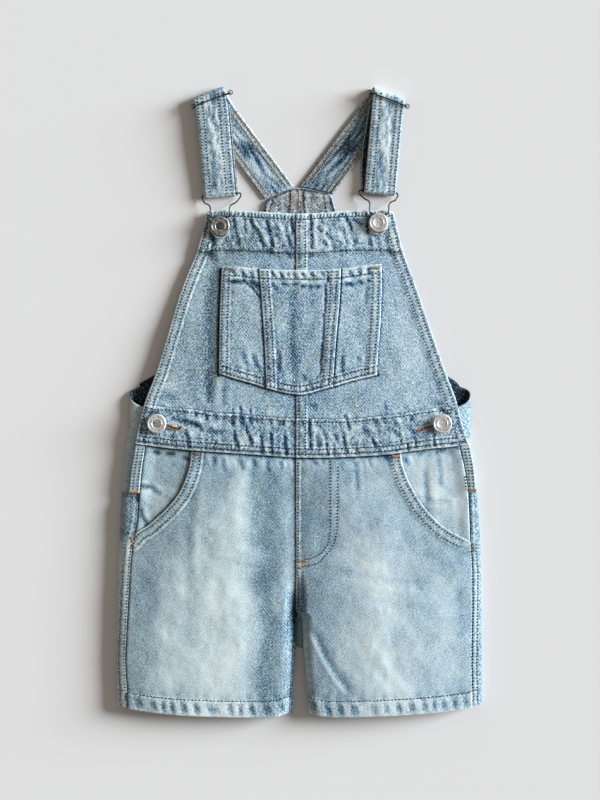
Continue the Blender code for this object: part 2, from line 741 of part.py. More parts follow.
def bib_face(x, y):
    return front_height(x, y) + DOUBLED - DENIM


def buckle(row, button):
    """One wire loop: a bar inside the strap's end, shoulders, a neck and a ring round the shank."""
    name = row[0]
    down_front = strap_frame(row)[2]
    centre = Vector((button[1], button[2]))
    end = Vector(row[4])
    up = (end - down_front * 3.0 - centre).normalized()
    side = Vector((up.y, -up.x))
    face = bib_face(centre.x, centre.y) + GAP + BUCKLE_WIRE + 0.5
    bar = (STRAP_LOW_FRONT + STRAP_LOW_REAR) / 2
    heights = {"bar": bar, "shoulder": mix(bar, face, 0.6), "face": face}
    loop = end - down_front * ((STRAP_LOW_FRONT - STRAP_LOW_REAR) / 2 + STRAP_THICK / 2)
    across_strap = Vector((-down_front.y, down_front.x))
    inward = across_strap * (REAR_SHIFT / 2 * (1 if centre.x < 0 else -1))
    half = [(share, 1) for share in BUCKLE[1:]] + [(share, -1) for share in reversed(BUCKLE[2:-1])]
    points = []
    for (along, across, lift), hand in half:
        at = centre + up * along + side * across * hand
        if lift == "bar":
            at = loop - down_front * (along - BUCKLE[1][0]) + across_strap * across * hand + inward
        points.append(Vector((at.x, at.y, heights[lift])))
    return wire("buckle_" + name, points, BUCKLE_WIRE, (0.5, 0.5, 0.5))


def button(name, x, y):
    """A turned button on its shank, standing just clear of the cloth under it."""
    shank = BUCKLED_SHANK_HEIGHT if name.startswith("bib") else SHANK_HEIGHT
    base = bib_face(x, y) + BUTTON_STANDOFF
    cap = base + shank
    profile = ((0, base), (SHANK_RADIUS, base), (SHANK_RADIUS, cap), (BUTTON_RADIUS - 0.8, cap),
               (BUTTON_RADIUS, cap + 0.8), (BUTTON_RADIUS, cap + 1.5),
               (BUTTON_RADIUS - CAP_RIM, cap + CAP_THICK - 0.2), (5.4, cap + CAP_THICK),
               (4.6, cap + CAP_THICK - CAP_RECESS), (0, cap + CAP_THICK - CAP_RECESS))
    bm = bmesh.new()
    verts = [bm.verts.new(((x + r) * MM, y * MM, z * MM)) for r, z in profile]
    edges = [bm.edges.new(pair) for pair in zip(verts, verts[1:])]
    bmesh.ops.spin(bm, geom=verts + edges, cent=(x * MM, y * MM, 0), axis=(0, 0, 1), angle=2 * math.pi,
                   steps=20, use_merge=True, use_duplicate=False)
    bmesh.ops.remove_doubles(bm, verts=bm.verts[:], dist=0.00001)
    bmesh.ops.recalc_face_normals(bm, faces=bm.faces[:])
    mesh = bpy.data.meshes.new(name)
    bm.to_mesh(mesh)
    bm.free()
    mesh.shade_smooth()
    mesh.set_sharp_from_angle(angle=math.radians(40))
    return link(name, mesh, (0.55, 0.54, 0.52), 0.35, 1.0)


def clear_scene():
    for item in list(bpy.data.objects):
        bpy.data.objects.remove(item, do_unlink=True)


def build():
    clear_scene()
    for side in ("left", "right"):
        back(side)
        front_leg(side)
        waistband(side)
        front_bib(side)
        pocket_facing(side)
        side_placket(side)
    bib_pocket("left", "left_edge", "left_seam")
    bib_pocket("middle", "left_seam", "right_seam")
    bib_pocket("right", "right_seam", "right_edge")
    back_facing()
    for row in STRAPS[1:]:
        strap(row)
        slider(row)
    for row, fastened in zip(STRAPS[1:], BUTTONS[1:3]):
        buckle(row, fastened)
    for name, x, y in BUTTONS[1:]:
        button(name, x, y)


build()
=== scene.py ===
import math

import bmesh
import bpy
import numpy as np
from mathutils import Matrix, Vector
from mathutils.bvhtree import BVHTree


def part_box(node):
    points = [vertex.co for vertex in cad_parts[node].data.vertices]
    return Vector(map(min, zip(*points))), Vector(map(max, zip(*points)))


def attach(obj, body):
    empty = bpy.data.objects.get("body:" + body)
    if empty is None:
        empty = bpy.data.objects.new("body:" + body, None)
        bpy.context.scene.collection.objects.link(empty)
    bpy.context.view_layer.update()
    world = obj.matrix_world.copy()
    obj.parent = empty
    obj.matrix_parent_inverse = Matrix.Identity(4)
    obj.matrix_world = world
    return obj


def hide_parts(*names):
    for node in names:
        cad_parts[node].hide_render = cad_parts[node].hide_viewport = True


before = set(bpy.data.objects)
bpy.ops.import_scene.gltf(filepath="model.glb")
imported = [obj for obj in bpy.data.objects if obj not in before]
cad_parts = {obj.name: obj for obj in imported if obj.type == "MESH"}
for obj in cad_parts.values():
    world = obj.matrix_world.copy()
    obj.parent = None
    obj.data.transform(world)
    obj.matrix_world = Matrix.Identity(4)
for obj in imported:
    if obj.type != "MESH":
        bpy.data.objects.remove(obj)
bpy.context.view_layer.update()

# Kids' dungaree shorts in light denim, laid out flat with the front up. The drawing is in
# millimetres, with y counted from the lowest point of the hems. MIDDLE is the drawing's point that
# lies at the origin, and every mesh is turned to metres and moved there as it is made.
# "Left" and "right" are the viewer's.

MM = 0.001
MIDDLE = np.array((-0.7, 276.3, 0.0))
SIGN = {"left": -1, "right": 1}

# ---- sizes in millimetres ----------------------------------------------------------------------
DENIM = 1.2
DOUBLED = 2.4
GAP = 0.3
HEM_DEPTH = 14.0
BIB_BAND_DEPTH = 34.0
CENTRE_SEAM = -4.2
FRONT_CROTCH = 92.0
BACK_CROTCH = 60.0
SIDE_OPENING = 196.0
SCOOP_FOOT = 154.0
SEAM_TOP = 239.0
WAIST_TOP = 262.0
BIB_HEIGHT = 181.0
LAP_START = 240.0
LAP_LEVEL = 268.0
ROLL_END = 291.5
YOKE_END = 463.6
UNDERLAP_END = 112.0
SIDE_ROLL = 9.0
SEAM_HEIGHT = 9.5
CENTRE_HEIGHT = 10.5
CROTCH_HEIGHT = 2.9
INNER_HEIGHT = 6.3
LEG_CROWN = 3.2
INNER_ROLL = 10.0
BIB_TOP_HEIGHT = 5.0
BIB_EDGE_DROP = 1.6
INNER_CURL = 7.0
INNER_RISE = 4.6
STRAP_WIDTH = 27.5
STRAP_THICK = 1.8
STRAP_BACK_HEIGHT = 0.9
STRAP_FRONT_HEIGHT = 7.0
STRAP_REAR_HEIGHT = 3.0
STRAP_LOW_FRONT = 5.2
STRAP_LOW_REAR = 1.2
STRAP_REAR_SHORT = 9.0
FOLD_RADIUS = (STRAP_FRONT_HEIGHT - STRAP_BACK_HEIGHT) / 2
LOW_RADIUS = (STRAP_LOW_FRONT - STRAP_LOW_REAR) / 2
REAR_SHIFT = 2.4
REAR_BULGE = {"left": 0.0, "right": 3.0}
BUTTON_RADIUS = 8.5
DISH_DEPTH = 0.72    # how far the middle of a button's face lies below its rim
SHANK_RADIUS = 2.6
CAP_DEPTH = 2.4
KNURLS = 30
KNURL_RING = 6.0
EYE_RADIUS = 3.3
BUCKLE_WIRE = 0.65
SLIDER_WIRE = 0.62
PLATE_WIRE = 0.6
EYELET_WIRE = 0.4
EYELET_RADIUS = 1.9
PLATE_RADIUS = 8.4
PLATE_RIM_RADIUS = 8.1
PLATE_THICK = 0.7
PLATE_LONG = 1.14    # how much longer than wide a plate is
PLATE_DROP = 1.8     # how far its middle is below the button's
METAL_REST = 0.8     # height of a wire's middle above the cloth it lies on

STRAP_CELL = 1.3     # cells of the grids
LEG_CELL = 1.1
PANEL_CELL = 1.0
BAND_CELL = 0.85
POCKET_CELL = 0.8
STITCH = 1.6         # length of a stitch
STITCH_GAP = 1.1
STITCH_LIFT = 0.2
SLANT = 0.45         # how far a stitch turns to the lines of the twill
TWILL = Vector((0.64, -0.77))
LOWEST_STITCH = 1.0
LINE_STEP = 4        # between the points of a seam's line

# ---- the drawing's tables ----------------------------------------------------------------------
BODY = (
    ("y", "left_outer", "left_seam", "right_seam", "right_outer"),
    (0, -159.6, -150.6, 150.2, 158.2), (24, -160.6, -151.4, 150.1, 159.2),
    (50, -160.5, -152.7, 149.6, 158.9), (75, -160.3, -151.6, 149.9, 158.8),
    (102, -159.9, -150.1, 150.3, 158.4), (125, -159.3, -148.8, 150.2, 158.1),
    (142, -158.9, -147.4, 149.4, 157.9), (155, -158.5, -145.7, 148.5, 157.3),
    (172, -158.1, -142.5, 147.9, 156.5), (196, -156.8, -140.8, 146.8, 154.7),
    (218, -154.8, -138.6, 143.5, 151.9), (239, -152.4, -136.0, 139.6, 149.6),
    (262, -149.8, -139.7, 140.0, 149.2), (290, -148.8, -137.0, 137.4, 147.2))
PLACKET = (
    ("y", "left", "right"),
    (196, -150.5, 153.8), (212, -149.2, 152.6), (227, -146.7, 150.4), (240, -144.6, 147.8))
INNER = (
    ("y", "left", "right"),
    (0, -10.8, 7.8), (24, -9.6, 5.9), (50, -7.9, 3.2), (75, -6.4, 1.3), (86, -6.0, 0.6),
    (92, CENTRE_SEAM - 0.2, CENTRE_SEAM + 0.2))
SCOOP = (
    ("y", "left", "right"),
    (154, -150.0, 148.4), (157, -147.0, 142.4), (162, -143.2, 132.4), (168, -133.3, 123.5),
    (175, -125.2, 115.9), (184, -115.8, 107.9), (196, -106.3, 100.3), (210, -99.9, 93.2),
    (224, -96.3, 88.7), (236, -95.4, 87.4))
WAIST = (
    ("x", "lower", "upper"),
    (-146, 239.0, 274.4), (-131, 237.0, 272.6), (-114, 234.9, 270.6), (-96, 233.2, 269.3),
    (-79, 231.9, 266.6), (-53, 230.1, 264.8), (-27, 228.4, 262.5), (-4, 226.8, 261.2),
    (17, 226.6, 260.8), (43, 227.5, 260.8), (61, 228.4, 262.5), (78, 229.7, 264.2), (96, 232.3, 266.9),
    (113, 234.5, 269.5), (131, 236.2, 271.6), (148, 238.4, 273.6))
HEM = (
    ("x", "y"),
    (-160, 10.8), (-149, 7.0), (-132, 4.4), (-105, 1.8), (-70, 0.4), (-35, 0.0), (-22, 0.4), (-11, 3.5),
    (8, 3.5), (17, 0.9), (26, 0.0), (52, 0.4), (87, 1.8), (122, 4.4), (144, 7.0), (158, 11.4))
BIB_SIDE = (
    ("y", "left", "right"),
    (239, -144.6, 147.6), (256, -141.0, 141.4), (273, -136.9, 137.4), (303, -125.8, 126.6),
    (341, -114.3, 113.4), (365, -107.2, 105.3), (387, -99.3, 97.5), (408, -90.7, 89.9),
    (426, -85.8, 85.3), (443, -81.6, 80.9))
BIB_TOP = (
    ("x", "y"),
    (-82, 441.6), (-78, 443.4), (-62, 443.6), (-44, 442.8), (-27, 441.9), (-3, 440.6), (17, 441.4),
    (35, 442.8), (52, 443.6), (77, 443.6), (81, 442.0))
POCKET = (
    ("y", "left_edge", "left_seam", "right_seam", "right_edge"),
    (282, -71.4, -30.0, 27.8, 65.8), (317, -71.3, -31.2, 30.2, 67.8), (338, -71.1, -32.4, 31.9, 69.6),
    (365, -70.4, -34.3, 34.3, 70.9), (382, -69.6, -35.7, 35.1, 71.4), (397, -68.8, -37.0, 35.5, 70.9))
POCKET_ENDS = (
    ("x", "lower", "upper"),
    (-71, 300.6, 393.8), (-57, 295.8, 394.2), (-44, 292.2, 392.9), (-30, 287.9, 391.7),
    (-9, 282.8, 391.2), (0, 282.0, 391.1), (8, 283.4, 391.1), (17, 286.1, 391.1), (30, 289.6, 391.7),
    (48, 294.9, 394.0), (66.5, 299.2, 396.4), (71, 300.5, 396.4))
BACK_EDGE = (
    ("y", "left", "right"),
    (282, -148.6, 147.0), (288, -145.6, 142.0), (295, -136.1, 134.5), (299, -128.5, 128.0),
    (310, -112.0, 112.0), (330, -92.0, 93.0), (360, -70.0, 71.0), (390, -54.0, 54.0),
    (420, -41.0, 40.0), (443, -32.8, 31.1), (453, -30.3, 28.4), (456, -24.4, 27.2), (459, -18.0, 24.5),
    (462, -11.0, 10.0), (463.6, -6.6, 1.5))
YOKE_TOP = (
    ("x", "y"),
    (-30, 453), (-24.4, 456), (-18, 459), (-11, 462), (-3, 463.4), (10, 462), (24.5, 459), (28, 453))
SIDE_RIM = (
    ("x", "y"),
    (100, 268.0), (128, 270.5), (140, 274.0))
ROLL_RIM = (
    ("share", "y"),
    (0.0, 274.0), (0.25, 278.0), (0.5, 284.5), (0.75, 289.0), (1.0, 291.5))
STRAPS = (
    ("side", "yoke", "back_fold", "front_fold", "buckle_end", "end_angle"),
    ("left", (-18.7, 459.3), (-81.5, 543.2), (-77.8, 543.2), (-70.4, 454.8), 23.9),
    ("right", (13.9, 461.7), (75.4, 543.5), (77.3, 543.5), (69.6, 457.2), -13.0))
BUTTONS = (
    ("name", "x", "y"),
    ("bib_button_left", -70.4, 429.6), ("bib_button_right", 68.2, 432.7),
    ("side_button_left", -125.6, 256.8), ("side_button_right", 123.8, 256.8))

# Rows of stitches that aren't in SEAMS: the two of the mock fly, then how far rows lie from the edge
# beside them, then the x of the yoke's, and last how far from its middle line a strap's rows lie.
FLY_ROW = ((32.8, 190), (32.4, 163), (29.3, 150.5), (23.2, 142.6), (16.2, 134.8), (4, 132.1),
           (-2.2, 130.4))
INNER_FLY_ROW = ((26.7, 225), (26.7, 195), (26.7, 163), (25, 152), (18.8, 143.5), (10, 139), (2.2, 137.4))
HEM_ROW = HEM_DEPTH + 0.2
BIB_BAND_ROW = BIB_BAND_DEPTH + 0.8
POCKET_HEM_ROW = 7.9
PLACKET_ROWS = {"left": (0.9, 4.2, 8.0), "right": (1.6, 5.1, 8.4)}
SIDE_ROWS = {"left": (1.5, 6.4), "right": (1.2, 4.9)}
YOKE_ROWS = (-7.9, -1.3)
STRAP_FRONT_ROWS = (-12.2, -7.9, 6.4, 11.0)
STRAP_BACK_ROWS = (-12.2, -8.3, 8.3, 12.2)
STRAP_REAR_ROW = -12.6


# ---- small helpers -----------------------------------------------------------------------------


def pick(side, left, right):
    return left if side == "left" else right


def look_up(table, column, key):
    """Values of a table's column at the keys, joined by smooth curves and level past the ends."""
    place = table[0].index(column)
    rows = np.array(table[1:], float)
    keys = rows[:, 0]
    values = rows[:, place]
    slopes = np.diff(values) / np.diff(keys)
    before = np.append(slopes[:1], slopes)
    after = np.append(slopes, slopes[-1:])
    total = np.where(before * after > 0, before + after, 1.0)
    tangents = np.where(before * after > 0, 2 * before * after / total, 0.0)
    key = np.clip(np.asarray(key, float), keys[0], keys[-1])
    i = np.clip(np.searchsorted(keys, key, side="right") - 1, 0, len(keys) - 2)
    width = keys[i + 1] - keys[i]
    t = (key - keys[i]) / width
    return ((1 + 2 * t) * (1 - t) ** 2 * values[i] + t * t * (3 - 2 * t) * values[i + 1]
            + width * t * (1 - t) ** 2 * tangents[i] - width * t * t * (1 - t) * tangents[i + 1])


def blend(low, high, value):
    """0 below low, 1 above high, and a smooth step between."""
    t = np.clip((value - low) / (high - low), 0.0, 1.0)
    return t * t * (3 - 2 * t)


def between(a, b, c, d, value):
    """0 outside a to d, 1 from b to c, and smooth steps between."""
    return blend(a, b, value) * (1 - blend(c, d, value))


def mix(a, b, t):
    return a + (b - a) * t


def bell(distance, width):
    return np.exp(-(distance / width) ** 2)


LATTICES = {}
LATTICE = 128


def noise(x, y, size, seed):
    """Smooth noise from -1 to 1 in cells of the given size."""
    if seed not in LATTICES:
        LATTICES[seed] = np.random.RandomState(seed).uniform(-1, 1, (LATTICE, LATTICE))
    lattice = LATTICES[seed]
    x = np.asarray(x, float) / size + 500.0
    y = np.asarray(y, float) / size + 500.0
    i = np.floor(x).astype(int)
    j = np.floor(y).astype(int)
    u = x - i
    v = y - j
    u = u * u * (3 - 2 * u)
    v = v * v * (3 - 2 * v)
    a, b, c, d = (lattice[(i + m) % LATTICE, (j + n) % LATTICE] for n in (0, 1) for m in (0, 1))
    return (a * (1 - u) + b * u) * (1 - v) + (c * (1 - u) + d * u) * v


def waver(along, size, seed):
    """Smooth noise from -1 to 1 along a line."""
    return noise(along, 0 * along, size, seed)


def off_line(x, y, x0, y0, x1, y1):
    """How far along a straight line each point is, how far to the right of it, and its length."""
    length = math.hypot(x1 - x0, y1 - y0)
    dx = (x1 - x0) / length
    dy = (y1 - y0) / length
    return (x - x0) * dx + (y - y0) * dy, (x - x0) * dy - (y - y0) * dx, length


# ---- lines of the garment ----------------------------------------------------------------------


def side_seam(side, y):
    return look_up(BODY, side + "_seam", y)


def inner_edge(side, y):
    return np.where(np.asarray(y) >= FRONT_CROTCH, CENTRE_SEAM, look_up(INNER, side, y))


def hem(x):
    return look_up(HEM, "y", x)


def waist_foot(x):
    return look_up(WAIST, "lower", x)


def waist_head(x):
    return look_up(WAIST, "upper", x)


def bib_top(x):
    return look_up(BIB_TOP, "y", x)


def pocket_foot(x):
    return look_up(POCKET_ENDS, "lower", x)


def pocket_top(x):
    return look_up(POCKET_ENDS, "upper", x)


def upper_edges(side):
    """Left and right edge of half the bib or waistband."""
    def outer(y):
        return look_up(BIB_SIDE, side, y)

    def inner(y):
        return CENTRE_SEAM + SIGN[side] * GAP / 2 + 0 * y

    return pick(side, (outer, inner), (inner, outer))


def route(points):
    return np.array(points, float)


def upright(x, low, high, step=LINE_STEP):
    """Points straight up or down a line."""
    return route([(x, y) for y in range(low, high, step)])


def line_along_y(table, column, low, high, shift=0.0, step=LINE_STEP):
    """Points of a line that a table gives as x at each y."""
    y = np.linspace(low, high, max(int((high - low) / step), 2) + 1)
    return np.stack([look_up(table, column, y) + shift, y], axis=1)


def line_along_x(table, column, low, high, shift=0.0):
    """Points of a line that a table gives as y at each x."""
    x = np.linspace(low, high, max(int((high - low) / LINE_STEP), 2) + 1)
    return np.stack([x, look_up(table, column, x) + shift], axis=1)


# ---- heights of the cloth ----------------------------------------------------------------------


def shorts_height(x, y):
    """Upper face of a single layer of the front below the waistband's top."""
    left = x < CENTRE_SEAM
    low = np.minimum(y, SEAM_TOP)
    seam = np.where(left, side_seam("left", low), side_seam("right", low))
    inner = np.where(left, inner_edge("left", y), inner_edge("right", y))
    across = np.clip((x - seam) / (inner - seam), 0.0, 1.0)
    in_middle = mix(CROTCH_HEIGHT, CENTRE_HEIGHT, blend(FRONT_CROTCH, 128.0, y))
    at_leg = mix(INNER_HEIGHT, CROTCH_HEIGHT, blend(40.0, 64.0, y))
    edge = np.where(y > FRONT_CROTCH, in_middle, at_leg)
    crown = LEG_CROWN * mix(1.0, 0.35, blend(150.0, 235.0, y))
    body = mix(SEAM_HEIGHT, CENTRE_HEIGHT, across) + crown * 4 * across * (1 - across)
    roll = np.minimum(np.abs(x - inner) / INNER_ROLL, 1.0)
    round_edge = np.sqrt(np.maximum(1 - (1 - roll) ** 2, 0.0))
    share = mix(round_edge, blend(0.0, 1.0, roll), blend(82.0, FRONT_CROTCH, y))
    return edge + (body - edge) * share


def bib_height(x, y):
    """Upper face of a single layer of the bib."""
    middle = mix(CENTRE_HEIGHT, BIB_TOP_HEIGHT, np.minimum((y - WAIST_TOP) / BIB_HEIGHT, 1.0))
    half = look_up(BIB_SIDE, "right", y)
    return middle - BIB_EDGE_DROP * blend(0.2, 1.0, np.abs(x) / half)


def front_height(x, y):
    """Upper face of a single layer of the front, anywhere, before it is creased."""
    return mix(shorts_height(x, np.minimum(y, WAIST_TOP)), bib_height(x, np.maximum(y, WAIST_TOP)),
               blend(240.0, 280.0, y))


# soft folds: from one point to another, how wide and how high, and how much paler the cloth is painted there,
# as shade in the hollows and highlight on the ridges
FOLDS = (
    ("x0", "y0", "x1", "y1", "width", "height", "pale"),
    (-77.5, 400, -81.5, 276, 6.0, -0.5, -0.26), (-73.6, 380, -74.5, 290, 2.0, 0.1, 0.10),
    (-7.5, 376, -6.5, 292, 3.6, -0.35, -0.20), (-16, 384, -26, 350, 3.0, -0.2, -0.10),
    (-60, 190, -66, 60, 16.0, 0.5, 0.0), (-30, 200, -26, 20, 9.0, -0.4, 0.0),
    (70, 190, 62, 30, 15.0, 0.5, 0.0), (5, 73, 38, 20, 2.4, 0.35, 0.16),
    (9, 76, 42, 23, 3.0, -0.35, -0.15), (-42, 228, -38, 150, 7.0, -0.25, -0.10),
    (-52, 226, -55, 150, 6.0, 0.2, 0.10), (52, 226, 55, 206, 3.5, -0.25, -0.16),
    (108, 222, 112, 172, 3.0, -0.25, -0.14), (117, 222, 120, 168, 3.5, 0.2, 0.08),
    (-110, 172, -140, 85, 12.0, -0.3, -0.08), (100, 330, 84, 300, 9.0, 0.3, 0.08),
    (-96, 200, -100, 130, 4.0, -0.25, -0.07), (-88, 196, -93, 120, 4.0, 0.2, 0.07),
    (-70, 150, -30, 143, 3.0, 0.12, 0.05), (-78, 138, -34, 133, 2.6, -0.12, -0.05),
    (30, 128, 110, 116, 2.8, -0.12, -0.06), (34, 120, 104, 108, 3.0, 0.12, 0.05),
    (48, 104, 118, 96, 3.0, -0.10, -0.05), (62, 150, 112, 143, 3.0, -0.10, -0.04),
    (60, 60, 104, 10, 5.0, 0.25, 0.07), (30, 40, 60, 8, 4.5, -0.25, -0.06))


def folds(x, y):
    """Height and paleness of the listed folds."""
    height = 0.0 * x
    pale = 0.0 * x
    for *ends, width, up, light in FOLDS[1:]:
        along, aside, length = off_line(x, y, *ends)
        aside = aside + 2.5 * waver(along, 40.0, 5)
        soft = min(3.0 * width, 0.4 * length)
        shape = bell(aside, width) * between(-soft, soft, length - soft, length + soft, along)
        height = height + up * shape
        # paleness painted as shade in a fold's hollow and as highlight on its ridge
        pale = pale + light * shape
    return height, pale


STEP = 0.875         # a step of the tables below, in millimetres
STEPS_ACROSS = 300.5  # where x is nought, in steps from the drawing's left
STEPS_DOWN = 717.0   # where y is nought, in steps from its top


def spot(x, y):
    """A place of the drawing, counted in steps from its upper left corner."""
    return ((x - STEPS_ACROSS) * STEP, (STEPS_DOWN - y) * STEP)


# Sharp short creases, in steps from the drawing's upper left corner: where they begin and end, how
# wide the unfaded valley is in millimetres, and how strong it is. One of them is not a crease but
# a button's painted shadow.
FRONT_CREASES = (
    ("x0", "y0", "x1", "y1", "width", "strength"),
    # the bib's top band
    (211.5, 230, 214, 246, 1.8, 1.0), (233, 215, 239, 245, 1.6, 1.0), (229, 217, 231, 226, 1.2, 0.6),
    (244.5, 218, 246, 234, 1.4, 0.7), (250.5, 218, 264, 246, 1.5, 0.9), (257, 219, 262, 228, 1.2, 0.6),
    (267.5, 219.5, 273, 248, 1.6, 1.0), (275, 223, 278, 231, 1.6, 0.8),
    (285.5, 226, 290.5, 246, 1.5, 0.9), (291.5, 216.5, 292.5, 234, 1.3, 0.8),
    (310.5, 213, 312.5, 230, 1.5, 1.0), (312, 234, 312, 248, 1.5, 1.0),
    (318.5, 225, 320, 232.5, 2.0, 0.8), (327.5, 233, 330.5, 239.5, 2.0, 0.8),
    (324.5, 240.5, 326, 246.5, 1.6, 1.0), (341, 212, 341.5, 217, 1.2, 0.8),
    (344, 212.5, 352.5, 229, 1.4, 0.9), (343.5, 228, 348, 243.5, 1.5, 0.8),
    (339.5, 240.5, 341.5, 244.5, 1.5, 0.8), (355, 211, 357.5, 215, 1.4, 0.8),
    (355.5, 220, 364, 225, 2.0, 0.8), (354, 239.5, 357.5, 243.5, 1.6, 0.7),
    # the first crease on the next line is the painted shadow of the right bib button
    (367.5, 217, 368.5, 234, 1.8, 1.1), (369, 237, 371, 246.5, 1.5, 0.7),
    (385, 237, 387.5, 242, 2.0, 0.6),
    # just below that band
    (205.5, 251, 208.5, 255, 2.5, 0.8), (211, 248.5, 214.5, 259, 3.0, 0.5),
    (269.5, 249, 273.5, 253.5, 2.0, 0.6), (287.5, 252, 292, 257, 2.0, 0.6),
    (311, 252, 313, 256, 2.0, 0.7), (317, 253.5, 319, 256.5, 2.0, 0.5),
    (323.5, 252, 325, 255.5, 2.0, 0.5), (346, 248.5, 348.5, 252, 2.0, 0.5),
    (386, 249, 394, 253.5, 2.0, 0.6),
    # just above the waistband
    (240, 406, 242, 413.5, 1.2, 0.9), (250.5, 407, 251.5, 413.5, 1.1, 0.8),
    (233, 408, 234, 413.5, 1.1, 0.6), (161, 394, 175, 399, 4.0, 0.4), (211, 380, 208.5, 403, 3.0, 0.4),
    (225.5, 385, 224.5, 405, 2.2, 0.4), (384.5, 403, 387, 411, 1.2, 0.6),
    (432, 401.5, 442, 405, 2.5, 0.6), (313, 403, 316, 409, 2.4, 0.6),
    # the waistband's left half
    (171, 417.5, 200, 426, 2.2, 0.8), (186.5, 429, 190, 448, 1.5, 1.0),
    (191, 420, 204.5, 430, 2.2, 0.6), (207.5, 430, 222.5, 433.5, 2.0, 0.6),
    (197, 411.5, 196, 416.5, 1.2, 0.8), (207.5, 413.5, 206.5, 420, 1.2, 0.7),
    (233.5, 431, 239, 447, 1.6, 1.1), (245.5, 426, 251.5, 445, 1.6, 1.1),
    (262, 433.5, 262, 453.5, 1.5, 1.0), (271.5, 431.5, 272.5, 453.5, 1.5, 1.0),
    (285, 435.5, 287, 455.5, 1.5, 1.0), (233.5, 415.5, 233.5, 426, 1.5, 0.7),
    (240, 416.5, 244, 426, 2.0, 0.7), (250.5, 416.5, 252.5, 426, 1.6, 0.7),
    (256, 417.5, 258, 425, 1.2, 0.6), (271.5, 418.5, 272.5, 430, 1.3, 0.7),
    (283, 418.5, 284, 425, 1.3, 0.6), (212, 436.5, 213, 441, 1.4, 0.6),
    (172.5, 431.5, 173, 438.5, 1.4, 0.6), (215, 441, 216, 449, 1.2, 0.8),
    (150, 413, 158, 414, 2.0, 0.6), (204, 446, 205, 451, 1.2, 0.7),
    # the waistband's right half
    (310, 419, 311, 449, 1.5, 0.9), (316.5, 436, 319.5, 447, 1.8, 0.8),
    (319.5, 425.5, 327, 438.5, 1.5, 0.6), (326, 442.5, 327, 455.5, 1.3, 0.9),
    (331.5, 433, 338, 440.5, 1.6, 0.6), (345.5, 414.5, 350, 429.5, 1.5, 1.0),
    (343.5, 436, 347.5, 453.5, 1.6, 0.9), (362, 428.5, 371.5, 435, 2.5, 0.7),
    (371.5, 437, 375, 447, 1.3, 1.0), (376, 420, 378, 433, 2.0, 0.5),
    (393.5, 419, 397.5, 426.5, 2.0, 0.7), (393.5, 429.5, 400, 436, 1.6, 0.8),
    (400, 427.5, 401, 445, 1.2, 0.8), (408.5, 426.5, 415, 435, 2.0, 0.6),
    (410.5, 416.5, 414, 421, 2.0, 0.6), (415, 436, 416, 448, 1.3, 0.9),
    (434.5, 434, 434.5, 447, 1.2, 0.8), (440, 409, 449.5, 413.5, 2.0, 0.6),
    (407.5, 444, 408.5, 451.5, 1.5, 1.0), (333, 443, 334, 456, 1.2, 0.7),
    (357, 440, 357, 452, 1.2, 0.6), (425, 442, 426, 449, 1.2, 0.6),
    # just below the waistband
    (382, 455.5, 391, 459, 2.5, 0.7), (314, 460, 316.5, 464.5, 2.0, 0.6),
    (322.5, 460, 324, 464, 1.8, 0.5), (240, 460, 244, 470, 1.8, 0.5), (254, 459, 256, 466, 1.8, 0.6),
    (268, 460, 270, 472, 1.8, 0.5), (281, 461, 282, 468, 1.6, 0.6), (222, 458, 226, 470, 2.0, 0.5),
    (213, 457, 216, 463, 2.0, 0.6), (356.5, 463, 357.5, 490, 2.0, 0.5), (341, 461, 343, 470, 1.6, 0.5),
    (369, 459, 371, 467, 1.6, 0.5))
POCKET_CREASES = (
    ("x0", "y0", "x1", "y1", "width", "strength"),
    # across the hem
    (241, 271, 245.5, 277, 1.5, 0.9), (251.5, 272, 254.5, 277, 1.6, 0.9),
    (272, 271, 275.5, 277.5, 1.3, 0.9), (281, 272, 283, 278.5, 1.4, 0.9),
    (288, 272.5, 289.5, 277, 1.2, 0.6), (294, 272.5, 296.5, 278.5, 1.7, 0.9),
    (302.5, 272.5, 305, 277.5, 1.5, 0.9), (311.5, 272.5, 315, 277.5, 1.5, 0.9),
    (323, 271.5, 324, 277, 1.3, 0.8), (327, 270.5, 327.5, 282, 1.3, 1.1),
    (350.5, 271, 353.5, 276, 1.5, 0.9), (359.5, 268.5, 360.5, 275, 1.5, 0.9),
    (367.5, 268.5, 370, 274, 1.5, 0.9), (232, 270, 236, 275, 1.6, 0.6),
    # under the hem
    (226.5, 280, 244.5, 281.5, 1.8, 0.9), (242, 278, 259, 296.5, 1.1, 0.7),
    (250.5, 280.5, 259.5, 287, 2.6, 0.9), (273, 283, 277.5, 289.5, 2.0, 0.6),
    (282, 283, 289, 285, 1.8, 0.6), (293.5, 283, 298, 284, 1.8, 0.7), (301, 286, 306, 286.5, 1.8, 0.9),
    (309.5, 286, 312.5, 286.5, 1.8, 0.8), (317, 286, 320.5, 286.5, 1.8, 0.8),
    (325.5, 284, 324.5, 313.5, 1.1, 0.8), (324, 313.5, 320.5, 374.5, 1.2, 0.8),
    (344.5, 283.5, 353.5, 284, 1.7, 0.9), (358.5, 281.5, 363, 283, 2.2, 0.8),
    (368.5, 279, 369.5, 282.5, 1.6, 0.9), (367.5, 287, 367, 304, 1.6, 0.5),
    # at the foot
    (279, 350, 280, 371, 1.8, 0.6), (254, 355, 260, 372, 1.8, 0.5), (243, 352, 247, 366, 1.8, 0.5),
    (344, 355, 342, 372, 1.8, 0.6), (304, 374, 305, 380, 2.0, 0.5), (358, 357, 360, 362, 2.0, 0.5))
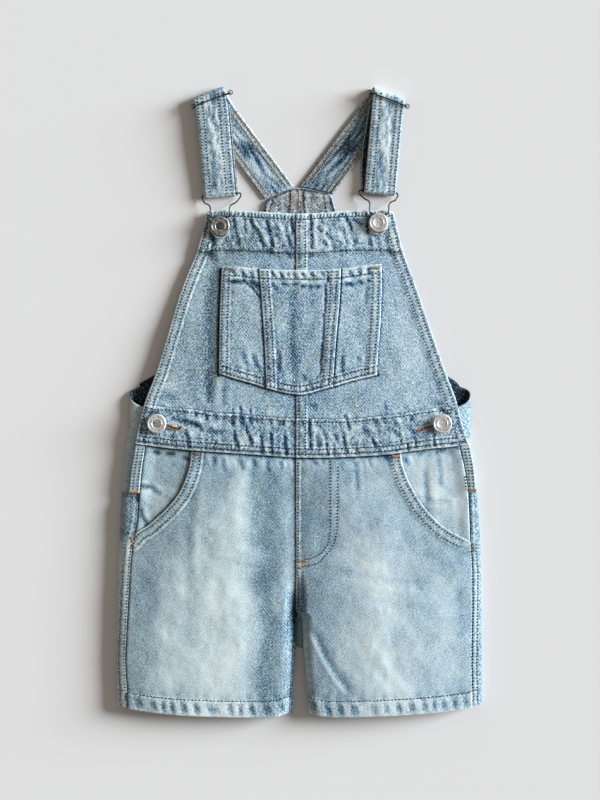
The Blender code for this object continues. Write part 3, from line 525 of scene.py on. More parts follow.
FACING_CREASES = (
    ("x0", "y0", "x1", "y1", "width", "strength"),
    (139, 487, 150, 486.5, 2.2, 0.7), (150, 486.5, 160, 494, 2.2, 0.7), (140, 508, 147, 528, 2.0, 0.7),
    (153, 452, 160, 452.5, 2.0, 0.8), (166, 452.5, 175, 453.5, 2.0, 0.8),
    (183, 456, 190, 460, 1.8, 0.6), (405, 458, 408, 464, 2.0, 0.7), (417, 453, 424, 452.5, 2.0, 0.6),
    (436, 451, 445, 449.5, 2.0, 0.7), (455, 449, 461, 448, 2.0, 0.5), (439, 456, 441, 486, 2.0, 0.4),
    (424, 470, 428, 500, 2.4, 0.3))
CREASE_REACH = 12.0  # how far past its ends a crease is looked for


def creases(x, y, table):
    """Height and paleness of sharp creases: a dark valley between two worn ridges. One crease of
    FRONT_CREASES is the painted shadow of the right bib button.
    """
    height = 0.0 * x
    pale = 0.0 * x
    for *ends, width, strength in table[1:]:
        (x0, y0), (x1, y1) = spot(*ends[:2]), spot(*ends[2:])
        near = ((x > min(x0, x1) - CREASE_REACH) & (x < max(x0, x1) + CREASE_REACH)
                & (y > min(y0, y1) - CREASE_REACH) & (y < max(y0, y1) + CREASE_REACH))
        if not near.any():
            continue
        along, aside, length = off_line(x[near], y[near], x0, y0, x1, y1)
        aside = aside + 0.9 * noise(along, 0 * along + x0, 7.0, 17)
        inside = between(-1.2 * width, width, length - width, length + 1.2 * width, along)
        valley = bell(aside, width) * inside
        ridges = (0.6 * bell(aside - 2.1 * width, width) + bell(aside + 2.1 * width, width)) * inside
        height[near] += strength * (0.10 * ridges - 0.24 * valley)
        pale[near] += strength * (0.22 * ridges - 0.54 * valley)
    return height, pale


def undulation(x, y):
    """The unevenness that denim has anywhere."""
    return (0.32 * noise(x, y, 26.0, 11) + 0.16 * noise(x, y, 9.0, 12) + 0.07 * noise(x, y, 4.0, 13))


def body_top(x, y):
    """Upper face of a single layer of the front, with its folds."""
    return front_height(x, y) + undulation(x, y) + folds(x, y)[0]


# ---- seams -------------------------------------------------------------------------------------


def near_line(x, y, points):
    """How far along the line each point is, and how far to the left of it."""
    best = np.full(x.shape, 1e9)
    along = np.zeros(x.shape)
    aside = np.zeros(x.shape)
    travelled = 0.0
    for start, end in zip(points[:-1], points[1:]):
        t, right, length = off_line(x, y, *start, *end)
        held = np.clip(t, 0.0, length)
        distance = np.hypot(t - held, right)
        closer = distance < best
        best = np.where(closer, distance, best)
        along = np.where(closer, travelled + held, along)
        aside = np.where(closer, np.where(right <= 0, distance, -distance), aside)
        travelled += length
    return along, aside


def pucker(along, aside, wave, slant, seed):
    """Uneven ripples across a seam, from -1 to 1, leaning by slant."""
    phase = along / wave + slant * aside / wave + 0.9 * noise(along, aside * 0.3, wave * 2.2, seed)
    return np.sin(2 * math.pi * phase) * (0.62 + 0.38 * waver(along, wave * 1.7, seed + 50))


# Seams are counted from their line, to its left. rows is where their stitches lie, wide where the
# doubled cloth ends, raised how much it stands up, rope how speckled it is, wave, ripple and lean
# say how long, high and slanted its puckers are and reach how far they run on, edge how pale its
# folded edge is, partly from wear and partly as a painted highlight, and blue how unfaded the
# cloth is along the rows.
SEAMS = {
    #           rows         wide raised rope  wave ripple lean reach edge  blue
    "bib edge": ((2.6, 7.9), 9.6, 0.30, 0.30, 9.0, 0.12, 0.5, 4.0, 0.50, 0.05),
    "opening": ((2.6, 8.4), 10.2, 0.30, 0.30, 8.0, 0.10, 0.5, 4.0, 0.50, 0.04),
    "felled": ((3.2, 7.9), 8.8, 0.50, 0.40, 8.0, 0.12, 0.4, 3.0, 0.50, 0.08),
    "centre": ((3.2, 9.0), 9.6, 0.40, 0.35, 8.0, 0.10, 0.4, 3.0, 0.45, 0.05),
    "fly seam": ((2.5,), 3.6, 0.30, 0.25, 8.0, 0.10, 0.4, 3.0, 0.60, 0.04),
    "pocket edge": ((2.5, 7.6), 8.6, 0.25, 0.40, 8.0, 0.10, 0.4, 3.0, 0.50, 0.06),
    "pocket foot": ((2.5, 7.6), 8.6, 0.25, 0.45, 8.0, 0.14, 0.4, 3.0, 0.55, 0.18),
    "band foot": ((3.5, 7.9), 8.8, 0.25, 0.45, 8.5, 0.16, 0.4, 4.0, 0.75, 0.20),
    "band head": ((2.6,), 3.6, 0.20, 0.30, 8.5, 0.16, 0.4, 5.0, 0.12, 0.08),
    "bib top": ((5.0,), 6.0, 0.15, 0.40, 8.5, 0.10, 0.4, 4.0, 0.40, 0.12),
    "row": ((0.0,), 0.0, 0.0, 0.25, 8.0, 0.08, 0.4, 4.0, 0.0, 0.08),
    "free row": ((0.0,), 0.0, 0.0, 0.12, 9.0, 0.05, 0.4, 3.0, 0.0, 0.04),
    "inside leg": ((), 3.0, 0.10, 0.15, 8.0, 0.10, 0.4, 3.0, 0.20, 0.0),
}


def stitch_rows(kind):
    """How far the rows of stitches of a kind of seam lie from its line."""
    return SEAMS[kind][0]


def seam(x, y, points, kind, seed):
    """Height, paleness and speckle that a seam adds along its line."""
    rows, wide, raised, rope, wave, ripple, lean, reach, edge, blue = SEAMS[kind]
    along, aside = near_line(x, y, points)
    inside = between(-0.7, 0.4, wide - 0.5, wide + 0.9, aside)
    near = between(-reach, 0.5, wide, wide + reach, aside)
    ripples = ripple * pucker(along, aside, wave, lean, seed) * near
    height = raised * inside + ripples
    # The folded edge is painted paler, partly as wear and partly as a painted highlight that is weaker on
    # edges facing the light, and a faint painted shade line lies just past the doubled band.
    travel = points[-1] - points[0]
    to_light = max(0.0, travel[1] / math.hypot(*travel))
    edge = edge * (1 - 0.75 * to_light) * (0.85 + 0.35 * waver(along, 6.0, seed + 9))
    pale = 0.55 * ripples + edge * bell(aside - 0.4, 0.8)
    if wide:
        pale = pale + 0.4 * edge * bell(aside - wide, 0.9) - 0.10 * bell(aside - wide - 1.8, 1.2)
    if len(rows) == 2:
        pale = pale + 0.07 * bell(aside - sum(rows) / 2, 1.2)
    for row in rows:
        pale = pale - blue * bell(aside - row, 1.0)
        height = height - 0.16 * bell(aside - row, 0.8)
    speckle = rope * inside * blend(0.9, 2.4, aside) if wide else rope * bell(aside, 1.8)
    return height, pale, speckle


def gather(x, y, seams):
    """Sum of several seams' heights and paleness, and the strongest speckle."""
    height = 0.0 * x
    pale = 0.0 * x
    speckle = 0.0 * x
    for place, (points, kind) in enumerate(seams):
        up, light, rope = seam(x, y, points, kind, 100 + 7 * place + len(points))
        height = height + up
        pale = pale + light
        speckle = np.maximum(speckle, rope)
    return height, pale, speckle


def shade_beside(distance, dark=0.42, width=0.9):
    """Paleness lost in a narrow painted contact shadow next to something raised, from its distance away."""
    return -dark * bell(distance - 0.5, width)


def crinkle(x, y, across, along, lean, seed):
    """Uneven creases from -1 to 1, long in y and leaning by lean."""
    u = x + lean * y
    v = y * across / along
    return np.tanh(1.9 * (noise(u, v, across, seed) + 0.6 * noise(u, v, across * 0.5, seed + 1)))


def gathers(x, wave, sway, size, seed):
    """Even fine creases from -1 to 1 across a band, swaying along it."""
    return np.sin(2 * math.pi * (x / wave + sway * waver(x, size, seed)))


def row_of_patches(along, aside, wave, deep, high, seed):
    """How much each spot is in one of a row of soft oval patches, deep to high off the edge."""
    phase = along / wave + 0.55 * waver(along, wave * 1.9, seed)
    size = 0.82 + 0.22 * waver(along, wave * 1.3, seed + 1)
    length = bell(aside - (deep + high) / 2, (high - deep) / 2 * 0.95)
    return blend(-0.5, 0.85, np.sin(2 * math.pi * phase + 0.12 * aside)) * length * size


# ---- wash --------------------------------------------------------------------------------------
# soft patches: from one point to another, how wide, and how much paler
FADES = (
    ("x0", "y0", "x1", "y1", "width", "pale"),
    (-56, 225, -62, 120, 20.0, 0.15), (-62, 130, -86, 0, 32.0, 0.30), (-112, 150, -116, 20, 14.0, 0.17),
    (-27, 220, -29, 110, 11.0, -0.17), (-28, 130, -31, 0, 11.0, -0.24),
    (-52, 215, -70, 205, 12.0, -0.08), (-126, 150, -126, 110, 12.0, -0.06),
    (-104, 30, -100, 18, 12.0, -0.10), (62, 225, 66, 120, 24.0, 0.10), (66, 140, 72, 0, 34.0, 0.22),
    (44, 60, 60, 20, 14.0, 0.06), (12, 200, 12, 10, 15.0, -0.08), (128, 120, 128, 15, 14.0, 0.09),
    # the second patch on the next line, down the crotch, is painted shade in its hollow
    (141, 112, 141, 70, 5.0, -0.12), (-5, 110, -5, 70, 7.0, -0.3), (-90, 350, -94, 285, 10.0, -0.08),
    (-84, 396, -92, 330, 9.0, 0.07), (95, 350, 108, 285, 18.0, 0.06), (-76, 440, -82, 400, 6.0, -0.15),
    (-64, 440, -20, 410, 22.0, -0.08), (-40, 282, 60, 280, 9.0, -0.09), (-20, 272, 30, 271, 7.0, -0.05),
    (-8, 370, -6, 300, 10.0, -0.06))


def fades(x, y):
    pale = 0.0 * x
    for *ends, width, light in FADES[1:]:
        along, aside, length = off_line(x, y, *ends)
        aside = aside + 0.25 * width * noise(x, y, 24.0, 7)
        inside = between(-width, width, length - width, length + width, along)
        pale = pale + light * bell(aside, width) * inside
    return pale


def coarseness(y):
    """How strongly the weave shows: most on the bib, less on the worn legs and the straps."""
    return mix(0.6, 0.95, blend(222.0, 262.0, y)) * mix(1.0, 0.6, blend(446.0, 456.0, y))


def mottle(x, y):
    """Cloudiness of the wash, drawn out along the warp."""
    return (0.05 * noise(x, y * 0.6, 21.0, 21) + 0.045 * noise(x, y * 0.5, 7.0, 22)
            + 0.04 * noise(x, y * 0.45, 3.2, 23))


def greyness(x, y):
    """How much the indigo has turned grey-green: most on the left leg, least on the bib."""
    on_leg = 1 - blend(190.0, 250.0, y)
    to_left = 1 - blend(-60.0, 60.0, x)
    beside_pocket = blend(72.0, 76.0, -x) * blend(262.0, 280.0, y)
    in_opening = blend(92.0, 112.0, np.abs(x)) * between(150.0, 160.0, 234.0, 240.0, y)
    return np.clip(0.12 + 0.35 * on_leg + 0.2 * to_left + 0.3 * on_leg * to_left + 0.35 * beside_pocket
                   + 0.4 * in_opening + 0.2 * noise(x, y, 24.0, 71) + 0.3 * noise(x, y, 7.0, 72), 0, 1)


# ---- making pieces -----------------------------------------------------------------------------
TOPS = []            # search trees of the faces that stitches on top lie on


def read(things, key, width, kind=float):
    """An array of what each of the things says, a row for each."""
    values = np.empty(len(things) * width, kind)
    things.foreach_get(key, values)
    return values.reshape(-1, width)


def mesh_of(name, bm, *surfaces):
    """A mesh of the shape, which is freed."""
    mesh = bpy.data.meshes.new(name)
    bm.to_mesh(mesh)
    bm.free()
    for surface in surfaces:
        mesh.materials.append(surface)
    return mesh


def to_metres(bm, offset):
    """Moves a shape in millimetres by the offset to its place in the drawing, and turns it to metres."""
    bmesh.ops.translate(bm, verts=bm.verts, vec=Vector(offset) - Vector(MIDDLE))
    bmesh.ops.scale(bm, verts=bm.verts, vec=(MM, MM, MM))


def link(name, data, slot, *nodes):
    """A finished piece on the body, standing for its CAD nodes."""
    made = bpy.data.objects.new(name, data)
    bpy.context.scene.collection.objects.link(made)
    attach(made, "root")
    if nodes:
        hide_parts(*nodes)
    return made


def grid_mesh(name, across, along):
    """A flat grid, with the place of each corner from 0 to 1 both ways."""
    bm = bmesh.new()
    bmesh.ops.create_grid(bm, x_segments=across, y_segments=along, size=0.5)
    mesh = mesh_of(name, bm)
    flat = read(mesh.vertices, "co", 3)
    return mesh, flat[:, 0] + 0.5, flat[:, 1] + 0.5


def flat_size(mesh):
    """Width, length and area in metres of a piece of cloth before it was laid, from its weave."""
    weave = read(mesh.uv_layers["cloth"].data, "uv", 2)
    corners = weave.reshape(-1, 4, 2)
    one = corners[:, 2] - corners[:, 0]
    other = corners[:, 3] - corners[:, 1]
    area = float(np.abs(one[:, 0] * other[:, 1] - one[:, 1] * other[:, 0]).sum() / 2)
    width, length = (float(v) for v in np.ptp(weave, axis=0))
    return width, length, area


def cloth(name, mesh, points, weave, pale, wall, rope, slot, nodes, surface, flipped=False, cut=None,
          greyer=0.0):
    """Turns a grid into a closed wall of cloth. points and weave are in millimetres: where each
    corner lies, and where it is on the flat cloth. pale is stored for the wash and the painted
    shade and highlight, rope for the speckle, wall is the thickness, and cut marks the corners
    that aren't cloth."""
    mesh.vertices.foreach_set("co", ((points - MIDDLE) * MM).ravel())
    corner = read(mesh.loops, "vertex_index", 1, int).ravel()
    layer = mesh.uv_layers.new(name="cloth")
    layer.data.foreach_set("uv", (weave[corner] * MM).ravel())
    x = points[:, 0]
    y = points[:, 1]
    grey = np.clip(greyness(x, y) + 0.9 * rope + greyer, 0, 1)
    for label, values in (("pale", pale), ("rope", rope), ("grey", grey), ("bite", coarseness(y))):
        stored = mesh.attributes.new(label, "FLOAT", "POINT")
        stored.data.foreach_set("value", np.asarray(values, np.float32))
    if flipped:
        mesh.flip_normals()
    if cut is not None:
        bm = bmesh.new()
        bm.from_mesh(mesh)
        bm.verts.ensure_lookup_table()
        outside = [f for f in bm.faces if any(cut[v.index] for v in f.verts)]
        bmesh.ops.delete(bm, geom=outside, context="FACES")
        bm.to_mesh(mesh)
        bm.free()
        wall = wall[~cut]
    mesh.shade_smooth()
    mesh.materials.append(surface)
    mesh.materials.append(DENIM_EDGE_SHADE)
    faces = [tuple(p.vertices) for p in mesh.polygons]
    TOPS.append(BVHTree.FromPolygons([Vector(c) for c in read(mesh.vertices, "co", 3)], faces))
    made = link(name, mesh, slot, *nodes)
    width, length, area = flat_size(mesh)
    group = made.vertex_groups.new(name="wall")
    levels = np.round(wall / DOUBLED, 3)
    for level in np.unique(levels):
        group.add(np.flatnonzero(levels == level).tolist(), float(level), "REPLACE")
    solid = made.modifiers.new("wall", "SOLIDIFY")
    solid.thickness = DOUBLED * MM
    solid.offset = -1.0
    solid.vertex_group = "wall"
    solid.use_quality_normals = True
    # the rims take the dark copy of the denim, painted shade against the low light
    solid.material_offset_rim = 1


EDGE_DROPS = (0.24, 0.08, 0.22, 0.16)  # how far a panel's left, right, lower and upper edge droop
TUCK = 1.6           # how far an edge sinks that runs on under its neighbour


def panel(name, left, right, lower, upper, dress, nodes, rests_on, cell=PANEL_CELL, grow=(0, 0, 0, 0)):
    """A flat-lying panel between x = left(y), right(y) and y = lower(x), upper(x). grow is how far
    it runs on under its neighbours at the left, right, lower and upper edge. dress(x, y) gives the
    upper face, the paleness, the wall and the speckle."""
    middle_low = float(lower(mix(left(lower(0.0)), right(lower(0.0)), 0.5)))
    middle_high = float(upper(mix(left(upper(0.0)), right(upper(0.0)), 0.5)))
    height = middle_high - middle_low
    ends = np.array([middle_low, middle_high])
    width = float(np.max(right(ends) - left(ends)))
    mesh, u, v = grid_mesh(name, max(int(width / cell), 4), max(int(height / cell), 4))
    u = u * (width + grow[0] + grow[1]) / width - grow[0] / width
    v = v * (height + grow[2] + grow[3]) / height - grow[2] / height
    plain = mix(middle_low, middle_high, v)
    x = mix(left(plain), right(plain), u)
    y = (plain + (lower(x) - middle_low) * np.clip(1 - v, 0, 2) ** 3
         + (upper(x) - middle_high) * np.clip(v, 0, 2) ** 3)
    x = mix(left(y), right(y), u)
    top, pale, wall, rope = dress(x, y)
    past = [left(y) - x, x - right(y), lower(x) - y, y - upper(x)]
    for extra, distance, drop in zip(grow, past, EDGE_DROPS):
        if extra:
            under = blend(-0.6, 1.2, distance)
            top = top - TUCK * under
            pale = pale - 0.3 * under
        else:
            top = top - drop * bell(distance, 0.8)
    points = np.stack([x, y, top], axis=1)
    cloth(name, mesh, points, points[:, :2], pale, wall + 0.0 * x, rope + 0.0 * x, "denim", nodes,
          DENIM_FACE)


# ---- materials ---------------------------------------------------------------------------------


def node(tree, kind, **values):
    made = tree.nodes.new(kind)
    for key, value in values.items():
        setattr(made, key, value)
    return made


def put(made, **values):
    """Sets a node's inputs. A space in an input's name is written as an underscore."""
    for key, value in values.items():
        made.inputs[key.replace("_", " ")].default_value = value
    return made


def combine(tree, operation, a, b, c=None):
    """A math node of two or three sockets or numbers."""
    made = node(tree, "ShaderNodeMath", operation=operation)
    for place, item in enumerate((a, b, c)):
        if isinstance(item, bpy.types.NodeSocket):
            tree.links.new(item, made.inputs[place])
        elif item is not None:
            made.inputs[place].default_value = item
    return made.outputs[0]


def new_material(name, **values):
    made = bpy.data.materials.new(name)
    made.use_nodes = True
    return made, made.node_tree, put(made.node_tree.nodes["Principled BSDF"], **values)


def srgb(*colour):
    """Linear colour of a colour given in 0 to 255."""
    parts = [v / 255.0 for v in colour]
    return (*(v / 12.92 if v <= 0.04045 else ((v + 0.055) / 1.055) ** 2.4 for v in parts), 1.0)


def ramp(tree, source, stops):
    made = node(tree, "ShaderNodeValToRGB")
    elements = made.color_ramp.elements
    elements[0].position, elements[0].color = stops[0]
    elements[1].position, elements[1].color = stops[-1]
    for place, colour in stops[1:-1]:
        elements.new(place).color = colour
    tree.links.new(source, made.inputs["Fac"])
    return made.outputs["Color"]


def noise_node(tree, vector, across, along, detail=1.0):
    """Noise in cells of the given size in millimetres on the flat cloth."""
    placed = put(node(tree, "ShaderNodeMapping"), Scale=(1 / (across * MM), 1 / (along * MM), 1.0))
    tree.links.new(vector, placed.inputs["Vector"])
    made = put(node(tree, "ShaderNodeTexNoise"), Scale=1.0, Detail=detail)
    tree.links.new(placed.outputs["Vector"], made.inputs["Vector"])
    return made.outputs["Fac"]


PALENESS = (0.0, 0.15, 0.3, 0.45, 0.6, 0.75, 0.9, 1.0)


def stops(*colours):
    """The cloth's colour at each level of paleness."""
    return [(place, srgb(*colour)) for place, colour in zip(PALENESS, colours)]


BLUE_STOPS = stops((6, 30, 58), (30, 71, 114), (69, 112, 150), (106, 142, 170), (142, 172, 194),
                   (175, 200, 216), (203, 223, 232), (226, 238, 240))
GREY_STOPS = stops((24, 28, 32), (44, 74, 92), (80, 107, 122), (111, 137, 150), (143, 168, 178),
                   (173, 195, 203), (203, 220, 224), (222, 234, 234))
INSIDE_STOPS = stops((18, 30, 42), (56, 72, 86), (94, 106, 114), (126, 136, 142), (156, 164, 168),
                     (184, 191, 194), (208, 213, 214), (226, 229, 228))


def centred(tree, source, amount):
    """A node's value from 0 to 1 turned to run either side of nought."""
    return combine(tree, "MULTIPLY_ADD", source, amount, -amount / 2)


def denim(name, stops_blue, stops_grey, base, wear=1.0):
    """Washed twill, coloured from the stored paleness, which holds the wash and also painted shade and
    highlight. base is how pale the cloth is before its wash, and wear how much of that paleness shows.
    """
    made, tree, shader = new_material(name, Roughness=0.92, Specular_IOR_Level=0.2, Sheen_Weight=0.1,
                                      Sheen_Roughness=0.6)
    flat = node(tree, "ShaderNodeUVMap", uv_map="cloth").outputs["UV"]
    turned = put(node(tree, "ShaderNodeMapping"), Rotation=(0.0, 0.0, math.radians(-40.0)),
                 Scale=(1 / MM, 1 / MM, 1.0))
    tree.links.new(flat, turned.inputs["Vector"])
    lines = put(node(tree, "ShaderNodeTexWave", wave_type="BANDS", bands_direction="X"),
                Scale=0.157, Distortion=1.2, Detail=1.0, Detail_Scale=1.0)
    tree.links.new(turned.outputs["Vector"], lines.inputs["Vector"])
    twill = lines.outputs["Fac"]
    warp = noise_node(tree, flat, 1.2, 5.0)
    weft = noise_node(tree, flat, 4.0, 1.2)
    grain = noise_node(tree, flat, 1.5, 1.5)
    speckle = noise_node(tree, flat, 1.7, 2.1)
    cloud = noise_node(tree, flat, 9.0, 16.0, 2.0)
    wash_and_shade, roped, greyed, bitten = (node(tree, "ShaderNodeAttribute", attribute_name=label).outputs["Fac"]
                                     for label in ("pale", "rope", "grey", "bite"))
    worn = combine(tree, "MULTIPLY_ADD", wash_and_shade, wear, base)
    level = combine(tree, "ADD", worn, centred(tree, cloud, 0.16))
    woven = centred(tree, twill, 0.30)
    for source, amount in ((warp, 0.55), (weft, 0.3), (grain, 1.4)):
        woven = combine(tree, "ADD", woven, centred(tree, source, amount))
    faded = put(node(tree, "ShaderNodeMapRange"), From_Min=0.4, From_Max=0.9, To_Min=1.1, To_Max=0.4)
    tree.links.new(level, faded.inputs["Value"])
    for source in (faded.outputs["Result"], bitten):
        woven = combine(tree, "MULTIPLY", woven, source)
    roped = combine(tree, "MULTIPLY", centred(tree, speckle, 2.6), roped)
    total = combine(tree, "ADD", combine(tree, "ADD", level, woven), roped)
    tint = node(tree, "ShaderNodeMix", data_type="RGBA")
    tree.links.new(greyed, tint.inputs["Factor"])
    tree.links.new(ramp(tree, total, stops_blue), tint.inputs[6])
    tree.links.new(ramp(tree, total, stops_grey), tint.inputs[7])
    tree.links.new(tint.outputs[2], shader.inputs["Base Color"])
    rise = combine(tree, "ADD", combine(tree, "MULTIPLY", twill, 0.4),
                   combine(tree, "ADD", combine(tree, "MULTIPLY", speckle, 0.4),
                           combine(tree, "MULTIPLY", grain, 0.7)))
    bump = put(node(tree, "ShaderNodeBump"), Strength=0.4, Distance=0.2 * MM)
    tree.links.new(rise, bump.inputs["Height"])
    tree.links.new(bump.outputs["Normal"], shader.inputs["Normal"])
    return made


def patchy(name, dark, light, low, high, scale, detail, **values):
    """A material of two colours in patches, and the noise that they follow."""
    made, tree, shader = new_material(name, **values)
    place = node(tree, "ShaderNodeTexCoord").outputs["Object"]
    patches = put(node(tree, "ShaderNodeTexNoise"), Scale=scale, Detail=detail)
    tree.links.new(place, patches.inputs["Vector"])
    colour = ramp(tree, patches.outputs["Fac"], ((low, srgb(*dark)), (high, srgb(*light))))
    tree.links.new(colour, shader.inputs["Base Color"])
    return made, tree, shader, patches.outputs["Fac"]


def metal(name, dark, light, roughness, scale, metallic):
    """Worn plated metal, darker in patches."""
    made, tree, shader, patches = patchy(name, dark, light, 0.35, 0.65, scale, 4.0, Metallic=metallic)
    rough = combine(tree, "MULTIPLY_ADD", patches, 0.3, roughness - 0.15)
    tree.links.new(rough, shader.inputs["Roughness"])
    return made


def thread(name, colour, pale):
    """Twisted sewing thread."""
    return patchy(name, colour, pale, 0.3, 0.7, 1500.0, 2.0, Roughness=0.8)[0]


DENIM_FACE = denim("washed_denim", BLUE_STOPS, GREY_STOPS, 0.63)
DENIM_INSIDE = denim("denim_inside", INSIDE_STOPS, INSIDE_STOPS, 0.5)
# a darker copy of the denim for the cloth walls' rims, painted shade so that rims facing the low light don't
# glare
DENIM_EDGE_SHADE = denim("denim_edge_shade", BLUE_STOPS, GREY_STOPS, 0.08, 0.2)
GREY_THREAD = thread("grey_thread", (18, 27, 42), (66, 77, 92))
ORANGE_THREAD = thread("orange_thread", (150, 104, 64), (206, 160, 112))
TAN_THREAD = thread("tan_thread", (92, 82, 76), (190, 172, 150))
ANTIQUE = metal("antique_silver", (110, 108, 104), (186, 184, 180), 0.42, 420.0, 0.6)
BRIGHT = metal("bright_silver", (196, 196, 196), (236, 236, 236), 0.42, 420.0, 0.45)
PLATE = metal("plate", (92, 90, 86), (168, 166, 162), 0.4, 420.0, 0.6)
GREY_EYE = metal("grey_eye", (120, 126, 122), (168, 172, 168), 0.5, 500.0, 0.5)
DARK_EYE = metal("dark_eye", (40, 48, 50), (84, 92, 92), 0.5, 700.0, 0.5)
DARK_WIRE = metal("dark_wire", (34, 32, 31), (84, 82, 80), 0.35, 300.0, 0.8)


# ---- the front ---------------------------------------------------------------------------------


def leg(side):
    sign = SIGN[side]

    def outer(y):
        seam_x = side_seam(side, y)
        scoop = look_up(SCOOP, side, y)
        limit = pick(side, np.maximum, np.minimum)(seam_x, scoop)
        return np.where(np.asarray(y) < SCOOP_FOOT, seam_x, limit)

    def inner(y):
        return inner_edge(side, y) + sign * GAP / 2

    opening = line_along_y(SCOOP, side, 156, 236, step=2.0)
    inside_leg = line_along_y(INNER, side, 4, 88)
    if side == "left":
        seams = [(opening[::-1], "opening"), (inside_leg, "inside leg")]
    else:
        seams = [(opening, "opening"), (upright(CENTRE_SEAM, 94, 232)[::-1], "fly seam"),
                 (route(((32.8, 222), *FLY_ROW)), "free row"), (inside_leg[::-1], "inside leg")]

    def dress(x, y):
        up, pale, rope = gather(x, y, seams)
        height, light = folds(x, y)
        dip, worn = creases(x, y, FRONT_CREASES)
        from_hem = y - hem(x)
        from_row = from_hem - HEM_ROW
        doubled = 1 - blend(HEM_DEPTH - 0.5, HEM_DEPTH + 0.8, from_hem)
        below = row_of_patches(x, from_hem, 11.3, 1.5, 12.5, pick(side, 301, 311))
        above = row_of_patches(x, from_hem, 11.0, 15.0, 20.0, pick(side, 305, 315))
        band = 1 - blend(12.0, 15.5, from_hem)
        ridges = bell(np.sin(math.pi * (x / 11.3 + 0.3 + 0.03 * from_hem)), 0.25)
        pale = (pale + 0.12 * band + 0.10 * ridges * band - pick(side, 0.60, 0.50) * below - 0.14 * above
                + 0.20 * bell(from_hem, 1.0) - 0.14 * bell(from_row, 0.7))
        rope = np.maximum(rope, 0.06 + 0.2 * band + 0.3 * bell(from_row, 1.2))
        under_band = waist_foot(x) - y
        creased = crinkle(x, y, 5.0, 13.0, 0.2, 321) * (1 - blend(4.0, 17.0, under_band))
        # the last term paints a shadow under the waistband's foot
        pale = pale + worn + 0.13 * creased + shade_beside(under_band, 0.6)
        # At the inner edges: a painted contact shadow left of the centre seam, the left leg's edge, which
        # faces the light, painted darker, and the right leg's edge, turned from it, painted paler.
        from_inner = np.where(y < FRONT_CROTCH, sign * (x - inner(y)), 99.0)
        if side == "left":
            pale = pale + shade_beside(np.where(y > FRONT_CROTCH, CENTRE_SEAM - x, 99.0), 0.6)
            pale = pale - 0.24 * bell(from_inner - 1.0, 1.6)
        else:
            pale = pale + 0.14 * bell(from_inner - 3.0, 6.0)
        top = (front_height(x, y) + undulation(x, y) + height + up + dip + (DOUBLED - DENIM) * doubled
               - 0.3 * below - 0.12 * above + 0.12 * creased)
        wall = np.where(doubled > 0.5, DOUBLED, DENIM)
        return top, pale + light + fades(x, y) + mottle(x, y), wall, rope

    left, right = pick(side, (outer, inner), (inner, outer))
    panel("leg_" + side, left, right, hem, waist_foot, dress, ["front_leg_" + side], ["back_" + side],
          cell=LEG_CELL, grow=(0, pick(side, 2.0, 0), 0, 3.0))


def waistband(side):
    low, high = pick(side, (-146, CENTRE_SEAM), (CENTRE_SEAM, 148))
    end = line_along_y(BIB_SIDE, side, 236, 276)
    seams = [(line_along_x(WAIST, "lower", low, high), "band foot"),
             (line_along_x(WAIST, "upper", low, high)[::-1], "band head"),
             (pick(side, end[::-1], end), "bib edge")]
    if side == "right":
        seams.append((upright(CENTRE_SEAM, 264, 222, -4), "centre"))

    def dress(x, y):
        up, pale, rope = gather(x, y, seams)
        dip, worn = creases(x, y, FRONT_CREASES)
        foot = y - waist_foot(x)
        middle = 0.55 + 0.45 * blend(8.0, 12.0, foot)
        creased = crinkle(x, y, 4.6, 15.0, 0.32, 77) * middle
        blotches = crinkle(x, y, 3.0, 4.5, 0.2, 81) * middle
        tight = gathers(x, 3.5, 0.5, 9.0, 79) * bell(foot - 5.7, 1.9) * (0.6 + 0.4 * waver(x, 14.0, 80))
        pale = (pale + pick(side, -0.11, -0.02) + 0.34 * tight + worn + 0.08 * creased + 0.14 * blotches
                + mottle(x, y))
        # painted contact shadow left of the centre seam
        if side == "left":
            pale = pale + shade_beside(CENTRE_SEAM - x, 0.7)
        top = body_top(x, y) + (DOUBLED - DENIM) + up + 0.08 * creased + dip
        return top, pale, DOUBLED, np.maximum(rope, 0.38)

    panel("waistband_" + side + "_cloth", *upper_edges(side), lambda x: waist_foot(x) + GAP, waist_head,
          dress, ["waistband_" + side], ["back_" + side], cell=BAND_CELL)


